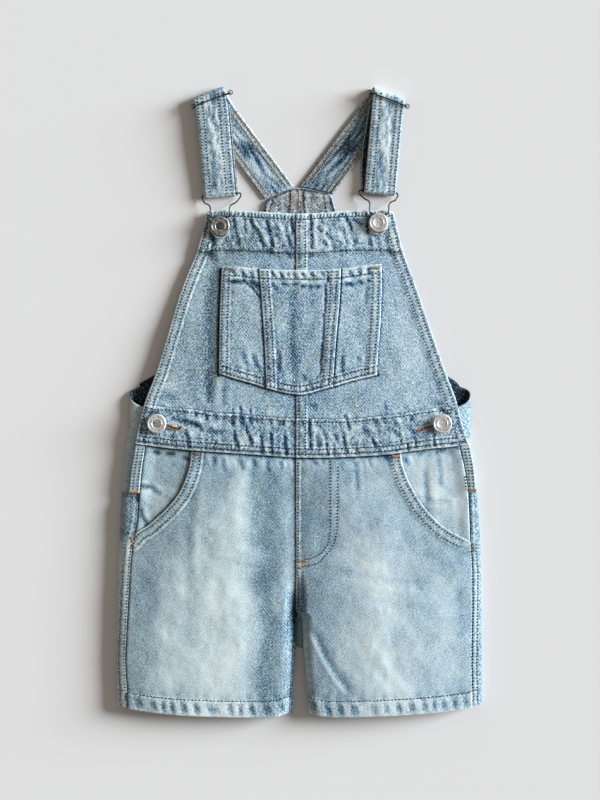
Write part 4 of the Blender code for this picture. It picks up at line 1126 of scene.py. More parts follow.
def bib(side):
    edge = line_along_y(BIB_SIDE, side, 262, 441)
    low, high = pick(side, (-82, CENTRE_SEAM), (CENTRE_SEAM, 81))
    seams = [(pick(side, edge[::-1], edge), "bib edge"),
             (line_along_x(BIB_TOP, "y", low, high)[::-1], "bib top"),
             (line_along_x(BIB_TOP, "y", low * 1.1, high * 1.1, -BIB_BAND_ROW), "row")]
    if side == "right":
        seams.append((upright(CENTRE_SEAM, 440, 258, -4), "centre"))

    def dress(x, y):
        up, pale, rope = gather(x, y, seams)
        height, light = folds(x, y)
        dip, worn = creases(x, y, FRONT_CREASES)
        depth = bib_top(x) - y
        doubled = 1 - blend(BIB_BAND_DEPTH - 1.0, BIB_BAND_DEPTH + 4.5, depth)
        in_band = doubled * blend(4.0, 7.0, depth)
        creased = crinkle(x, y, 4.6, 17.0, pick(side, 0.5, 0.2), 91) * in_band
        blotches = crinkle(x, y, 3.6, 4.8, 0.2, 93) * in_band
        fine = gathers(x, 3.1, 0.5, 9.0, 95) * bell(depth - 3.2, 1.9)
        low_creases = crinkle(x, y, 6.0, 12.0, 0.3, 97) * (1 - blend(2.0, 16.0, y - waist_head(x)))
        top = (front_height(x, y) + undulation(x, y) + height + up + dip + (DOUBLED - DENIM) * doubled
               + 0.10 * creased + 0.12 * fine + 0.08 * low_creases)
        # worn holds the creases' paleness, with the painted shadow of the right button
        pale = (pale + light + worn + fades(x, y) + 0.01 - 0.04 * doubled + 0.12 * creased
                + 0.12 * blotches + 0.10 * bell(depth, 2.0) + 0.38 * fine + 0.08 * low_creases + mottle(x, y))
        # painted contact shadow left of the centre seam
        if side == "left":
            pale = pale + shade_beside(CENTRE_SEAM - x, 0.7)
        # painted shadow along the pocket's outer edges, strongest on the left, and under the pocket's foot
        outside = -SIGN[side] * (look_up(POCKET, side + "_edge", y) - x)
        within = 1 - blend(68.0, 71.5, np.abs(x))
        pale = pale + shade_beside(outside, pick(side, 0.9, 0.3), 1.2) * between(296.0, 299.0, 391.0, 394.0, y)
        pale = pale + shade_beside(pocket_foot(x) - y, 0.6, 1.0) * within
        pale = pale - 0.12 * within * row_of_patches(x, y - pocket_top(x), 12.0, 0.0, 5.0, 99)
        pale = pale - 0.10 * row_of_patches(x, depth, 9.0, BIB_BAND_DEPTH + 1.0, BIB_BAND_DEPTH + 7.0, 98)
        return top, pale, np.where(doubled > 0.5, DOUBLED, DENIM), np.maximum(rope, 0.2 + 0.22 * doubled)

    panel("bib_" + side, *upper_edges(side), lambda x: waist_head(x) + GAP, bib_top, dress,
          ["front_bib_" + side], ["back_" + side], grow=(0, pick(side, 2.0, 0), 3.0, 0))


# which columns of POCKET each strip lies between, how pale it is, and how far it runs on to its
# left and right
STRIPS = {"left": ("left_edge", "left_seam", 0.0, 0, 2.5), "middle": ("left_seam", "right_seam", -0.05, 0, 0),
          "right": ("right_seam", "right_edge", 0.02, 2.5, 0)}


def pocket_strip(part):
    left_column, right_column, shade, grow_left, grow_right = STRIPS[part]
    seams = [(line_along_x(POCKET_ENDS, "upper", -72, 72, -POCKET_HEM_ROW), "row"),
             (line_along_x(POCKET_ENDS, "lower", -72, 72), "pocket foot")]
    if part == "left":
        seams.append((line_along_y(POCKET, "left_edge", 300, 392)[::-1], "pocket edge"))
    if part == "middle":
        seams.append((line_along_y(POCKET, "left_seam", 286, 392)[::-1], "felled"))
        seams.append((line_along_y(POCKET, "right_seam", 286, 392), "felled"))
    if part == "right":
        seams.append((line_along_y(POCKET, "right_edge", 300, 394), "pocket edge"))

    def dress(x, y):
        up, pale, rope = gather(x, y, seams)
        dip, worn = creases(x, y, POCKET_CREASES)
        from_top = pocket_top(x) - y
        foot = y - pocket_foot(x)
        pale = (pale + 1.25 * worn + shade + 0.12 * (1 - blend(6.5, 8.5, from_top))
                + 0.14 * bell(from_top - 10.0, 1.0) + 0.06 * crinkle(x, y, 7.0, 16.0, 0.1, 339)
                + 0.26 * bell(from_top, 0.9) + folds(x, y)[1] + mottle(x + 60, y)
                + 0.20 * gathers(x, 3.1, 0.6, 11.0, 336) * bell(foot - 5.0, 3.4)
                + 0.12 * crinkle(x, y, 2.6, 8.0, 0.1, 337) * (1 - blend(9.0, 22.0, foot)))
        # painted contact shadow next to the middle strip's seams, stronger on the left
        if part == "left":
            pale = pale + shade_beside(look_up(POCKET, "left_seam", y) - x, 0.9, 1.1)
        if part == "right":
            pale = pale + shade_beside(x - look_up(POCKET, "right_seam", y), 0.6, 1.0)
        rope = np.maximum(rope, 0.24 + 0.15 * (1 - blend(7.0, 9.0, from_top)))
        return body_top(x, y) + GAP + DENIM + 0.7 * up + 0.7 * dip, pale, DENIM, rope

    panel("pocket_strip_" + part, lambda y: look_up(POCKET, left_column, y) + GAP / 2,
          lambda y: look_up(POCKET, right_column, y) - GAP / 2, pocket_foot, pocket_top, dress,
          ["bib_pocket_" + part], ["front_bib_right" if part == "right" else "front_bib_left"],
          cell=POCKET_CELL, grow=(grow_left, grow_right, 0, 0))


FACING_FOOT = 147.0
FACING_DROP = 10     # how far the facing's hidden edge lies below the scoop and inside it
FACING_TUCK = 12


def pocket_facing(side):
    sign = SIGN[side]

    def deep(y):
        return look_up(SCOOP, side, np.asarray(y) + FACING_DROP) - sign * FACING_TUCK

    def seam_edge(y):
        return side_seam(side, y) - sign * GAP

    def dress(x, y):
        dip, worn = creases(x, y, FACING_CREASES)
        from_seam = sign * (side_seam(side, y) - x)
        from_lip = sign * (x - look_up(SCOOP, side, y))
        under_band = waist_foot(x) - y
        top = body_top(x, y) - (DENIM + GAP) * blend(0.0, 12.0, from_seam) + dip
        # painted shadow under the waistband's foot and along the scoop's lip, stronger on the left
        pale = (mottle(x, y) + pick(side, 0.04, 0.14) + worn
                - 0.16 * row_of_patches(x, under_band, 11.0, 2.0, 8.0, 341) + shade_beside(under_band, 0.4)
                + folds(x, y)[1] + 0.12 * crinkle(x, y, 9.0, 9.0, 0.6, 343) * bell(y - 190.0, 14.0)
                + shade_beside(from_lip, pick(side, 0.3, 0.12), 1.2))
        return top, pale, DENIM, 0.04

    left, right = pick(side, (seam_edge, deep), (deep, seam_edge))
    panel("facing_" + side, left, right, lambda x: FACING_FOOT + 0.0 * x, lambda x: waist_foot(x) - GAP,
          dress, ["pocket_facing_" + side], ["back_" + side], grow=(0, 0, 0, 2.5))


def placket(side):
    sign = SIGN[side]

    def outer(y):
        return look_up(PLACKET, side, y)

    def inner(y):
        return side_seam(side, y) + sign * GAP / 2

    def dress(x, y):
        ripples = pucker(y, x, 9.0, 0.2, 61)
        pale = mottle(x, y) + 0.10 + 0.05 * ripples
        inset = sign * (outer(y) - x)
        for row in PLACKET_ROWS[side]:
            pale = pale - 0.10 * bell(inset - row, 0.7)
        return body_top(x, y) + 0.08 * ripples, pale, DENIM, 0.15

    left, right = pick(side, (outer, inner), (inner, outer))
    panel("placket_" + side, left, right, lambda x: SIDE_OPENING + 0.0 * x, lambda x: waist_foot(x) - GAP,
          dress, ["side_placket_" + side], ["back_" + side], grow=(0, 0, 0, 2.5))


# ---- the back ----------------------------------------------------------------------------------
FLAP_CELLS, ROLL_CELLS, FLOOR_CELLS = 14, 20, 42
BACK_ROWS = 200
WAIST_SHARE = 0.62   # share of those rows below the waistband's top
ROLL_SHARE = 0.68    # and below the roll's upper end
ROLL_GIRTH = 2.1     # length of the cloth round the roll, for its width
YOKE_LINES = ((3.5, 2.2), (22.3, 19.7), (-27.0, -22.0), (-10.0, -9.0))
YOKE_FOOT = 400.0
YOKE_HEAD = 463.0
FACING_THICK = 1.0


def back(side):
    """The back, from the top of the yoke to the hem. It lies on the floor, rolls up round the outer
    edge to the side seam, and at the waist reaches in under the waistband."""
    sign = SIGN[side]
    columns = FLAP_CELLS + ROLL_CELLS + FLOOR_CELLS
    mesh, u, v = grid_mesh("back_" + side, columns, BACK_ROWS)
    column = np.round(u * columns).astype(int)
    on_flap = column <= FLAP_CELLS
    past_flap = (column - FLAP_CELLS) / ROLL_CELLS
    y = np.interp(v, (0.0, WAIST_SHARE, ROLL_SHARE, 1.0), (0.0, WAIST_TOP, ROLL_END, YOKE_END))
    level = np.minimum(y, LAP_LEVEL)
    outer = look_up(BODY, side + "_outer", level)
    seam_x = side_seam(side, level)
    under = blend(SIDE_OPENING - 12, SIDE_OPENING - 3, level)
    edge = seam_x + sign * (GAP + 0.3)
    edge = np.where(level > SIDE_OPENING, look_up(PLACKET, side, level) - sign * 5, edge)
    edge = mix(edge, sign * UNDERLAP_END, blend(LAP_START, LAP_START + 6, level))
    roll_top = outer - sign * SIDE_ROLL
    roll_top = np.where((edge - roll_top) * sign > 0, edge, roll_top)
    reach = np.abs(outer - roll_top)
    lowered = (DENIM + 2 * GAP) * under
    # the flap on top
    x_flap = mix(edge, roll_top, np.clip(column / FLAP_CELLS, 0, 1))
    z_flap = front_height(x_flap, level) - lowered
    # the roll
    turn = math.pi * np.clip(past_flap, 0, 1)
    top = front_height(roll_top, level) - lowered
    x_roll = roll_top + sign * reach * np.sin(turn)
    z_roll = top * (1 + np.cos(turn)) / 2
    # the floor, which curls up at the inner leg
    in_leg = 1 - blend(BACK_CROTCH - 1, BACK_CROTCH + 2, y)
    inner = mix(CENTRE_SEAM + sign * GAP / 2, look_up(INNER, side, y) + sign * 2 * GAP, in_leg)
    above = y > ROLL_END
    start = np.where(above, look_up(BACK_EDGE, side, y), roll_top)
    x_floor = mix(start, inner, np.clip((column - FLAP_CELLS - ROLL_CELLS) / FLOOR_CELLS, 0, 1))
    curl = np.clip(1 - np.abs(x_floor - inner) / INNER_CURL, 0, 1)
    rise = INNER_RISE * (1 - blend(36.0, BACK_CROTCH - 2, y))
    z_floor = rise * (1 - np.sqrt(1 - np.minimum(curl, 0.999) ** 2))
    x = np.where(on_flap, x_flap, np.where(past_flap < 1, x_roll, x_floor))
    z = np.where(on_flap, z_flap, np.where(past_flap < 1, z_roll, z_floor))
    # the rim on the top side and down the roll
    rim = np.where(on_flap, look_up(SIDE_RIM, "y", np.abs(x)), look_up(ROLL_RIM, "y", past_flap))
    stretch = np.clip((y - LAP_START) / (ROLL_END - LAP_START), 0, 1)
    y = np.where(y <= ROLL_END, np.where(y > LAP_START, mix(LAP_START, rim, stretch), y), y)
    y = y + np.clip(1 - y / (HEM_DEPTH + 1), 0, 1) * hem(x)
    # how far along the flat cloth each corner is, round the roll
    round_roll = reach * ROLL_GIRTH
    girth = np.where(on_flap, x_flap - roll_top,
                     np.where(past_flap <= 1, sign * round_roll * turn / math.pi,
                              sign * round_roll - (x_floor - start)))
    weave = np.stack([sign * girth + sign * roll_top, y], axis=1)
    wall = np.where(y - hem(x) < HEM_DEPTH * 0.98, DOUBLED, DENIM)
    ripples = pucker(y, x, 8.0, 0.4, pick(side, 31, 37))
    out = sign * (x - seam_x)
    on_side = np.where(column <= FLAP_CELLS + ROLL_CELLS // 2, 1.0, 0.0)
    on_floor = np.where(past_flap > 1, 1.0, 0.0)
    band = on_side * between(0.0, 0.8, 8.0, 9.5, out) * (1 - blend(194.0, 198.0, y))
    z = z + on_side * (1 - under) * (0.10 * ripples + undulation(x, y))
    uncovered = on_side * between(150.0, 160.0, 196.0, 200.0, y)
    unfaded = pick(side, 0.30, 0.36 * bell(out - 1.2, 1.6) + 0.04)
    # Inside the armhole the back is painted dark as shade, its curled inner edge at the legs is painted dark
    # as shade, and on the right, which faces the light, the side and its seam band get less paleness as
    # painted shade.
    armhole_painted_shade = blend(0.45, 0.7, past_flap) * between(250.0, 262.0, 296.0, 306.0, y)
    pale = (mottle(x * 1.3, y) + 0.03 + 0.06 * ripples * on_side - unfaded * uncovered
            + 0.18 * band * bell(out - sum(SIDE_ROWS[side]) / 2, 1.4) - 0.7 * armhole_painted_shade
            + pick(side, 0.15, 0.11) * on_side + 0.10 * on_floor * crinkle(x, y, 16.0, 50.0, 0.1, 347)
            - pick(side, 0.03, 0.11) * band - 0.5 * on_floor * in_leg * blend(0.3, 0.9, curl))
    for row in SIDE_ROWS[side]:
        groove = band * bell(out - row, 0.8)
        z = z - 0.14 * groove
        pale = pale - 0.10 * groove
    # The right roll's steep face, which the low light falls on straight, is painted darker and greyer as
    # shade.
    lit_roll_shade = np.sin(turn) ** 2 * pick(side, 0.0, 1.0)
    rope = pick(side, 0.42, 0.3) * band + 0.5 * armhole_painted_shade
    cloth("back_" + side + "_cloth", mesh, np.stack([x, y, z], axis=1), weave, pale - 0.25 * lit_roll_shade, wall,
          rope, "denim", ["back_" + side], DENIM_FACE, flipped=side == "left",
          cut=above & (past_flap < 1), greyer=0.8 * lit_roll_shade)


def yoke_facing():
    mesh, u, v = grid_mesh("yoke_facing", 64, 44)
    y = mix(YOKE_FOOT, YOKE_HEAD, v)
    left = look_up(BACK_EDGE, "left", y + 0.6) + 0.6
    right = look_up(BACK_EDGE, "right", y + 0.6) - 0.6
    x = mix(left, right, u)
    z = DENIM + GAP + FACING_THICK + 0.15 * pucker(x, y, 11.0, 0.4, 43)
    points = np.stack([x, y, z], axis=1)
    creased = crinkle(x, y, 3.5, 8.0, 0.2, 45)
    inset = np.minimum(np.minimum(x - left, right - x), look_up(YOKE_TOP, "y", x) - y)
    pale = mottle(x, y) + 0.22 * creased - 0.45 * bell(inset - 1.0, 1.3) + 0.15 * bell(inset - 3.6, 1.2)
    for low_x, high_x in YOKE_LINES:
        pale = pale - 0.5 * bell(x - mix(low_x, high_x, blend(443.0, 461.0, y)), 0.9)
    pale = pale + 0.2 * bell(x + 4.5, 3.5)
    cloth("yoke_facing", mesh, points, points[:, :2], pale, np.full(x.shape, FACING_THICK),
          np.full(x.shape, 0.4), "denim_inside", ["back_facing"], DENIM_INSIDE)


# ---- straps ------------------------------------------------------------------------------------


class Strap:
    """A strap's places and directions, and the lengths of its parts. It runs from the yoke up to the
    fold, down the front, round the buckle and back up behind."""

    def __init__(self, name, yoke, back_fold, front_fold, buckle_end, end_angle):
        self.name = name
        self.fold = Vector(back_fold)
        self.start = Vector(front_fold)
        self.end = Vector(buckle_end)
        self.end_angle = math.radians(end_angle)
        self.down_back = (Vector(yoke) - self.fold).normalized()
        self.down_front = (self.end - self.start).normalized()
        along = (self.down_back - self.down_front).normalized()
        self.along = -along if along.x < 0 else along
        self.out = Vector((-self.along.y, self.along.x))
        self.side = Vector((-self.down_front.y, self.down_front.x))
        self.inward = 1 if self.side.x * (0 - self.start.x) > 0 else -1
        self.travel = -self.down_back
        self.across = Vector((-self.travel.y, self.travel.x))
        first = self.fold + self.along * (self.start - self.fold).dot(self.along)
        skipped = (first - self.start).dot(self.down_front)
        self.length = (self.end - self.start).length - LOW_RADIUS - STRAP_THICK / 2
        front = self.length - skipped
        self.back_length = (Vector(yoke) - self.fold).length
        self.arc = math.pi * FOLD_RADIUS / self.travel.dot(self.out)
        self.bottom = self.arc + front
        self.loop = math.pi * LOW_RADIUS
        self.rear = front + skipped - STRAP_REAR_SHORT

    def point(self, s, w):
        """Point of the middle surface, s along the strap from the fold and w across it."""
        flat = self.travel * s + self.across * w
        n = flat.dot(self.out)
        c = flat.dot(self.along)
        arc = math.pi * FOLD_RADIUS
        natural = arc / self.travel.dot(self.out) * self.travel.dot(self.along)
        wanted = (self.start - self.fold).dot(self.along)
        c += (wanted - natural) * float(blend(-20.0, arc + 20.0, n))
        place = self.fold + self.along * c
        if n <= 0:
            return (*(place + self.out * n), STRAP_BACK_HEIGHT)
        if n < arc:
            turn = n / FOLD_RADIUS
            place = place + self.out * FOLD_RADIUS * math.sin(turn)
            return (*place, STRAP_BACK_HEIGHT + FOLD_RADIUS * (1 - math.cos(turn)))
        place = place - self.out * (n - arc)
        p = (place - self.start).dot(self.down_front)
        q = (place - self.start).dot(self.side)
        if p <= self.length:
            return (*place, mix(STRAP_FRONT_HEIGHT, STRAP_LOW_FRONT, float(blend(30.0, self.length, p))))
        turn = (p - self.length) / LOW_RADIUS
        if turn < math.pi:
            q += self.inward * REAR_SHIFT * float(blend(0.0, math.pi, turn))
            at = self.start + self.down_front * (self.length + LOW_RADIUS * math.sin(turn)) + self.side * q
            return (*at, mix(STRAP_LOW_REAR, STRAP_LOW_FRONT, (1 + math.cos(turn)) / 2))
        p = self.length - (turn - math.pi) * LOW_RADIUS
        bulge = REAR_BULGE[self.name] * math.sin(math.pi * min(max(p / self.length, 0.0), 1.0) ** 1.5)
        q += self.inward * (REAR_SHIFT + bulge)
        rear = mix(STRAP_LOW_REAR, STRAP_REAR_HEIGHT, 1 - float(blend(62.0, self.length, p)))
        return (*(self.start + self.down_front * p + self.side * q), rear)


STRAP_SHAPES = [Strap(*row) for row in STRAPS[1:]]


def strap(shape):
    """Two layers of denim, from the yoke up to the fold, down the front and round the buckle."""
    name = shape.name
    back_length, arc, bottom, loop = shape.back_length, shape.arc, shape.bottom, shape.loop
    skew_fold = shape.along.dot(shape.travel) / shape.along.dot(shape.across)
    end = Vector((math.cos(shape.end_angle), math.sin(shape.end_angle)))
    skew_end = end.dot(shape.travel) / end.dot(shape.across)
    total = back_length + bottom + loop + shape.rear
    mesh, u, v = grid_mesh("strap_" + name, 22, int(total / STRAP_CELL))
    s = v * total - back_length
    w = (u - 0.5) * STRAP_WIDTH
    skew = mix(skew_end, skew_fold, blend(-back_length, -back_length / 2, s))
    skew = mix(skew, 0.0, blend(arc, bottom, s))

    def surface(ahead, aside):
        return np.array([shape.point(a + (b + aside) * c + ahead, b + aside) for a, b, c in zip(s, w, skew)])

    points = surface(0.0, 0.0)
    # the face that looks up on the front lies half the thickness out from the middle surface
    step = 0.5
    beyond = surface(0.0, step)
    normal = np.cross(beyond - points, surface(step, 0.0) - points)
    normal /= np.linalg.norm(normal, axis=1)[:, None]
    edges = STRAP_WIDTH / 2 - np.abs(w)
    grooves = bell(edges - 2.2, 0.8) + bell(edges - 6.6, 0.8)
    ripples = pucker(s, w, 7.5, 0.35, pick(name, 51, 57)) * (1 - blend(5.0, 9.0, edges))
    creased = crinkle(w, s, 2.6, 15.0, 0.12, pick(name, 53, 59)) * blend(5.5, 8.0, edges)
    on_front = blend(0.0, arc, s)
    hump = (0.10 * ripples - 0.16 * grooves + 0.18 * creased - 0.45 * bell(edges, 0.7)) * on_front
    outer_face = points + normal * (STRAP_THICK / 2 + hump)[:, None]
    in_middle = blend(6.5, 8.5, edges)
    on_back = 1 - blend(-4.0, 4.0, s)
    on_rear = blend(bottom, bottom + loop, s)
    streaks = crinkle(w, s, 2.4, 14.0, 0.0, 63)
    blots = crinkle(w, s, 2.4, 5.0, 0.0, 65)
    # the rim that faces the light is painted darker, as shade against the low light
    to_right = np.sign((beyond - points)[:, 0]) * w
    lit_rim_painted_shade = bell(STRAP_WIDTH / 2 - to_right - 0.5, 1.1) * on_front
    # The right strap's rear layer is painted dark except near its edge, as the front layer's shadow on it.
    pale = (mottle(w + 300, s) + 0.08 * ripples + 0.14 * creased - 0.04 * grooves - 0.42 * lit_rim_painted_shade
            + 0.22 * bell(edges - 0.3, 0.9) + pick(name, 0.03, 0.10)
            + on_back * (in_middle * (0.30 * streaks - 0.12) - pick(name, 0.0, 0.27))
            + on_front * (1 - on_rear) * in_middle * (0.22 * blots + 0.10 * streaks - 0.02)
            + 0.15 * on_rear - pick(name, 0.0, 0.9) * on_rear * blend(0.7, 1.4, edges))
    cloth("strap_" + name + "_cloth", mesh, outer_face, np.stack([w, s], axis=1), pale,
          np.full(s.shape, STRAP_THICK), 0.42 - 0.12 * in_middle, "denim", ["strap_" + name], DENIM_FACE,
          greyer=on_rear + pick(name, 0.0, 0.5) * on_back)


# ---- metal -------------------------------------------------------------------------------------


def turned(name, profile, x, y, surface, nodes=(), steps=72):
    """A round piece spun from its profile of radius and height."""
    bm = bmesh.new()
    verts = [bm.verts.new(Vector((x + r - MIDDLE[0], y - MIDDLE[1], z)) * MM) for r, z in profile]
    edges = [bm.edges.new(pair) for pair in zip(verts, verts[1:])]
    middle = Vector((x - MIDDLE[0], y - MIDDLE[1], 0)) * MM
    bmesh.ops.spin(bm, geom=verts + edges, cent=middle, axis=(0, 0, 1), angle=2 * math.pi,
                   steps=steps, use_merge=True, use_duplicate=False)
    bmesh.ops.remove_doubles(bm, verts=bm.verts[:], dist=0.005 * MM)
    bmesh.ops.recalc_face_normals(bm, faces=bm.faces[:])
    mesh = mesh_of(name, bm, surface)
    mesh.shade_smooth()
    mesh.set_sharp_from_angle(angle=math.radians(50))
    link(name, mesh, "button", *nodes)


def button(name, x, y, surface):
    low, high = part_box(name)
    base = low.z / MM
    top = high.z / MM
    cap = top - CAP_DEPTH
    r = BUTTON_RADIUS
    profile = [(0, base), (SHANK_RADIUS, base), (SHANK_RADIUS, cap), (r - 1.2, cap), (r - 0.3, cap + 0.35),
               (r, cap + 0.9), (r - 0.1, cap + 1.45)]
    # the worn rings of the face: how far in from the rim or out from the middle, and how far down
    profile += [(r - inset, top - drop) for inset, drop in (
        (0.6, 0.3), (1.2, 0.12), (1.7, 0.3), (1.95, 0.62), (2.2, 0.68), (2.5, 0.55), (2.75, 0.5))]
    profile += [(radius, top - drop) for radius, drop in (
        (5.2, 0.5), (5.0, 0.58), (4.75, 0.35), (4.4, 0.2), (4.0, 0.35), (3.8, 0.62), (3.4, DISH_DEPTH),
        (0, DISH_DEPTH))]
    turned(name + "_metal", profile, x, y, surface, [name])
    bm = bmesh.new()
    for step in range(KNURLS):
        bar = bmesh.ops.create_cube(bm, size=1.0)["verts"]
        bmesh.ops.scale(bm, verts=bar, vec=(1.5, 0.62 + 0.25 * (step % 3), 0.4))
        bmesh.ops.translate(bm, verts=bar, vec=(KNURL_RING, 0, 0))
        bmesh.ops.rotate(bm, verts=bar, matrix=Matrix.Rotation(2 * math.pi * step / KNURLS, 3, "Z"))
    to_metres(bm, (x, y, top - 0.45))
    link(name + "_knurls", mesh_of(name + "_knurls", bm, surface), "button")
    if name.endswith("_left"):
        eye = [(0, top - DISH_DEPTH), (EYE_RADIUS, top - DISH_DEPTH), (EYE_RADIUS, top - 0.42),
               (EYE_RADIUS - 0.3, top - 0.36), (0, top - 0.36)]
        turned(name + "_eye", eye, x, y, DARK_EYE if name == "bib_button_left" else GREY_EYE, steps=32)


def wire(name, points, radius, surface, nodes=(), cyclic=True):
    """Round wire along a route in millimetres."""
    curve = bpy.data.curves.new(name, "CURVE")
    curve.dimensions = "3D"
    curve.bevel_depth = radius * MM
    curve.bevel_resolution = 3
    curve.use_fill_caps = True
    spline = curve.splines.new("NURBS")
    spline.points.add(len(points) - 1)
    for target, point in zip(spline.points, points):
        target.co = (*((np.array(point) - MIDDLE) * MM), 1.0)
    spline.use_cyclic_u = cyclic
    spline.use_endpoint_u = not cyclic
    spline.order_u = 3
    spline.resolution_u = 6
    curve.materials.append(surface)
    link(name, curve, "wire", *nodes)


# half of the buckle's wire: along it from the button's middle, across it, and how high it lies
BUCKLE = (
    ("along", "across", "lift"),
    (25.6, 0.0, "bar"), (25.6, 8.0, "bar"), (25.6, 14.9, "bar"), (25.4, 16.6, "bar"),
    (23.4, 17.2, "bar"), (21.4, 16.2, "bar"), (20.2, 13.6, "shoulder"), (19.2, 10.2, "shoulder"),
    (17.2, 8.6, "shoulder"), (14.6, 8.2, "face"), (10.4, 8.6, "face"), (8.0, 7.6, "face"),
    (7.0, 4.0, "face"), (7.0, 0.0, "face"))


def buckle(shape, x, y):
    """Wire from the strap's end to the button, and the plate that the button slots into."""
    name = shape.name
    down_front = shape.down_front
    centre = Vector((x, y))
    up = (shape.end - down_front * 3.0 - centre).normalized()
    side = Vector((up.y, -up.x))
    face = float(front_height(np.array([x]), np.array([y]))[0]) + DENIM + GAP + METAL_REST + 0.5
    bar = (STRAP_LOW_FRONT + STRAP_LOW_REAR) / 2
    heights = {"bar": bar, "shoulder": mix(bar, face, 0.6), "face": face}
    loop = shape.end - down_front * (LOW_RADIUS + STRAP_THICK / 2)
    inward = shape.side * (REAR_SHIFT / 2 * (1 if x < 0 else -1))
    points = []
    for (along, across, lift), hand in ([(share, 1) for share in BUCKLE[1:]]
                                        + [(share, -1) for share in reversed(BUCKLE[2:-1])]):
        at = centre + up * along + side * across * hand
        if lift == "bar":
            at = loop - down_front * (along - BUCKLE[1][0]) + shape.side * across * hand + inward
        points.append((*at, heights[lift]))
    wire("buckle_" + name + "_wire", points, BUCKLE_WIRE, DARK_WIRE, ["buckle_" + name])
    bm = bmesh.new()
    bmesh.ops.create_circle(bm, cap_ends=True, segments=8, radius=PLATE_RADIUS)
    bmesh.ops.rotate(bm, verts=bm.verts, matrix=Matrix.Rotation(math.pi / 8, 3, "Z"))
    bmesh.ops.scale(bm, verts=bm.verts, vec=(1.0, PLATE_LONG, 1.0))
    made = bmesh.ops.extrude_face_region(bm, geom=bm.faces[:])
    lifted = [g for g in made["geom"] if isinstance(g, bmesh.types.BMVert)]
    bmesh.ops.translate(bm, verts=lifted, vec=(0, 0, PLATE_THICK))
    bmesh.ops.recalc_face_normals(bm, faces=bm.faces[:])
    bmesh.ops.bevel(bm, geom=bm.edges[:], offset=0.2, segments=2, profile=0.5, affect="EDGES", material=-1)
    turn = math.atan2(up.y, up.x) - math.pi / 2
    bmesh.ops.rotate(bm, verts=bm.verts, matrix=Matrix.Rotation(turn, 3, "Z"))
    lower = centre - up * PLATE_DROP
    to_metres(bm, (*lower, face - 0.2))
    # a rounded rim along the plate's lower edge, in the brighter silver as a painted highlight
    rim = []
    for angle in (-10, -22.5, -67.5, -112.5, -157.5, -170):
        way = math.radians(angle)
        corner = Vector((math.cos(way), math.sin(way) * PLATE_LONG)) * PLATE_RIM_RADIUS
        rim.append((*(lower + side * corner.x + up * corner.y), face + 0.5))
    wire("plate_rim_" + name, rim, PLATE_WIRE, BRIGHT, cyclic=False)
    link("plate_" + name, mesh_of("plate_" + name, bm, PLATE), "wire")


def slider(shape):
    """Wire bars across the strap, joined at each side by an eyelet."""
    name = "slider_" + shape.name
    centre = shape.start + shape.down_front * 3.0
    half = STRAP_WIDTH / 2 + 2.6
    low = (STRAP_FRONT_HEIGHT + STRAP_REAR_HEIGHT) / 2
    high = STRAP_FRONT_HEIGHT + STRAP_THICK / 2 + GAP + METAL_REST
    shares = (-1.0, -0.5, 0.0, 0.5, 1.0)
    bars = ([(share, high) for share in shares] + [(1.08, mix(low, high, 0.5))]
            + [(share, low) for share in reversed(shares)] + [(-1.08, mix(low, high, 0.5))])
    points = [(*(centre + shape.along * half * share), height) for share, height in bars]
    wire(name + "_wire", points, SLIDER_WIRE, DARK_WIRE, [name])
    for side, hand in SIGN.items():
        middle = centre + shape.along * (half + 1.0) * hand
        ring = [(middle.x + EYELET_RADIUS * math.cos(a), middle.y + EYELET_RADIUS * math.sin(a), high + 0.1)
                for a in np.linspace(0, 2 * math.pi, 12, endpoint=False)]
        wire(name + "_eye_" + side, ring, EYELET_WIRE, DARK_WIRE)


# ---- stitches ----------------------------------------------------------------------------------
STITCHES = {"grey": [], "orange": [], "tan": []}


def resample(points, step):
    """Points at even steps along a line."""
    points = np.asarray(points, float)
    lengths = np.append(0.0, np.cumsum(np.hypot(*np.diff(points[:, :2], axis=0).T)))
    count = max(int(round(lengths[-1] / step)), 1)
    at = np.linspace(0, lengths[-1], count + 1)
    return np.stack([np.interp(at, lengths, points[:, k]) for k in range(points.shape[1])], axis=1)


def directions(points):
    ways = np.gradient(points, axis=0)
    return ways / np.linalg.norm(ways, axis=1)[:, None]


def offset(points, distance):
    """A line moved to its left by the distance."""
    points = np.asarray(points, float)
    ways = directions(points)
    return points + distance * np.stack([-ways[:, 1], ways[:, 0]], axis=1)


def height_at(x, y):
    """Height in millimetres of the topmost cloth at a place of the drawing."""
    start = Vector(((x - MIDDLE[0]) * MM, (y - MIDDLE[1]) * MM, 0.1))
    hits = [tree.ray_cast(start, Vector((0, 0, -1)))[0] for tree in TOPS]
    heights = [hit.z for hit in hits if hit is not None]
    return max(heights) / MM if heights else None


def sew(points, colour="grey", lift=STITCH_LIFT, highest=99.0):
    """A row of uneven stitches on the topmost cloth along a line, where it isn't too high. Rows
    that run across have wider gaps, and rows that run up have thinner thread."""
    ends = np.asarray(points[-1], float) - np.asarray(points[0], float)
    across = abs(ends[0]) / np.linalg.norm(ends)
    gap = mix(STITCH_GAP, 1.5 * STITCH_GAP, across)
    thick = mix(0.62, 0.80, across)
    if colour == "orange":
        gap = 0.5 * STITCH_GAP
        thick = 0.9
    lift = lift - 0.06 * across
    marks = resample(points, STITCH + gap)
    for a, b in zip(marks[:-1], marks[1:]):
        middle = Vector((a + b) / 2)
        middle += 0.18 * Vector((noise(middle.x, middle.y, 1.7, 401), noise(middle.x, middle.y, 1.7, 402)))
        way = Vector(b - a) * STITCH / (STITCH + gap) / 2 * (1.0 + 0.22 * noise(middle.x, middle.y, 2.1, 403))
        turned_way = way.normalized() + TWILL * math.copysign(SLANT, way.dot(TWILL))
        half = turned_way.normalized() * way.length
        p = middle - half
        q = middle + half
        z0 = height_at(*p)
        z1 = height_at(*q)
        if z0 is None or z1 is None or min(z0, z1) + lift < LOWEST_STITCH:
            continue
        if abs(z0 - z1) < 1.5 and z0 < highest:
            STITCHES[colour].append(((*p, z0 + lift), (*q, z1 + lift), thick))


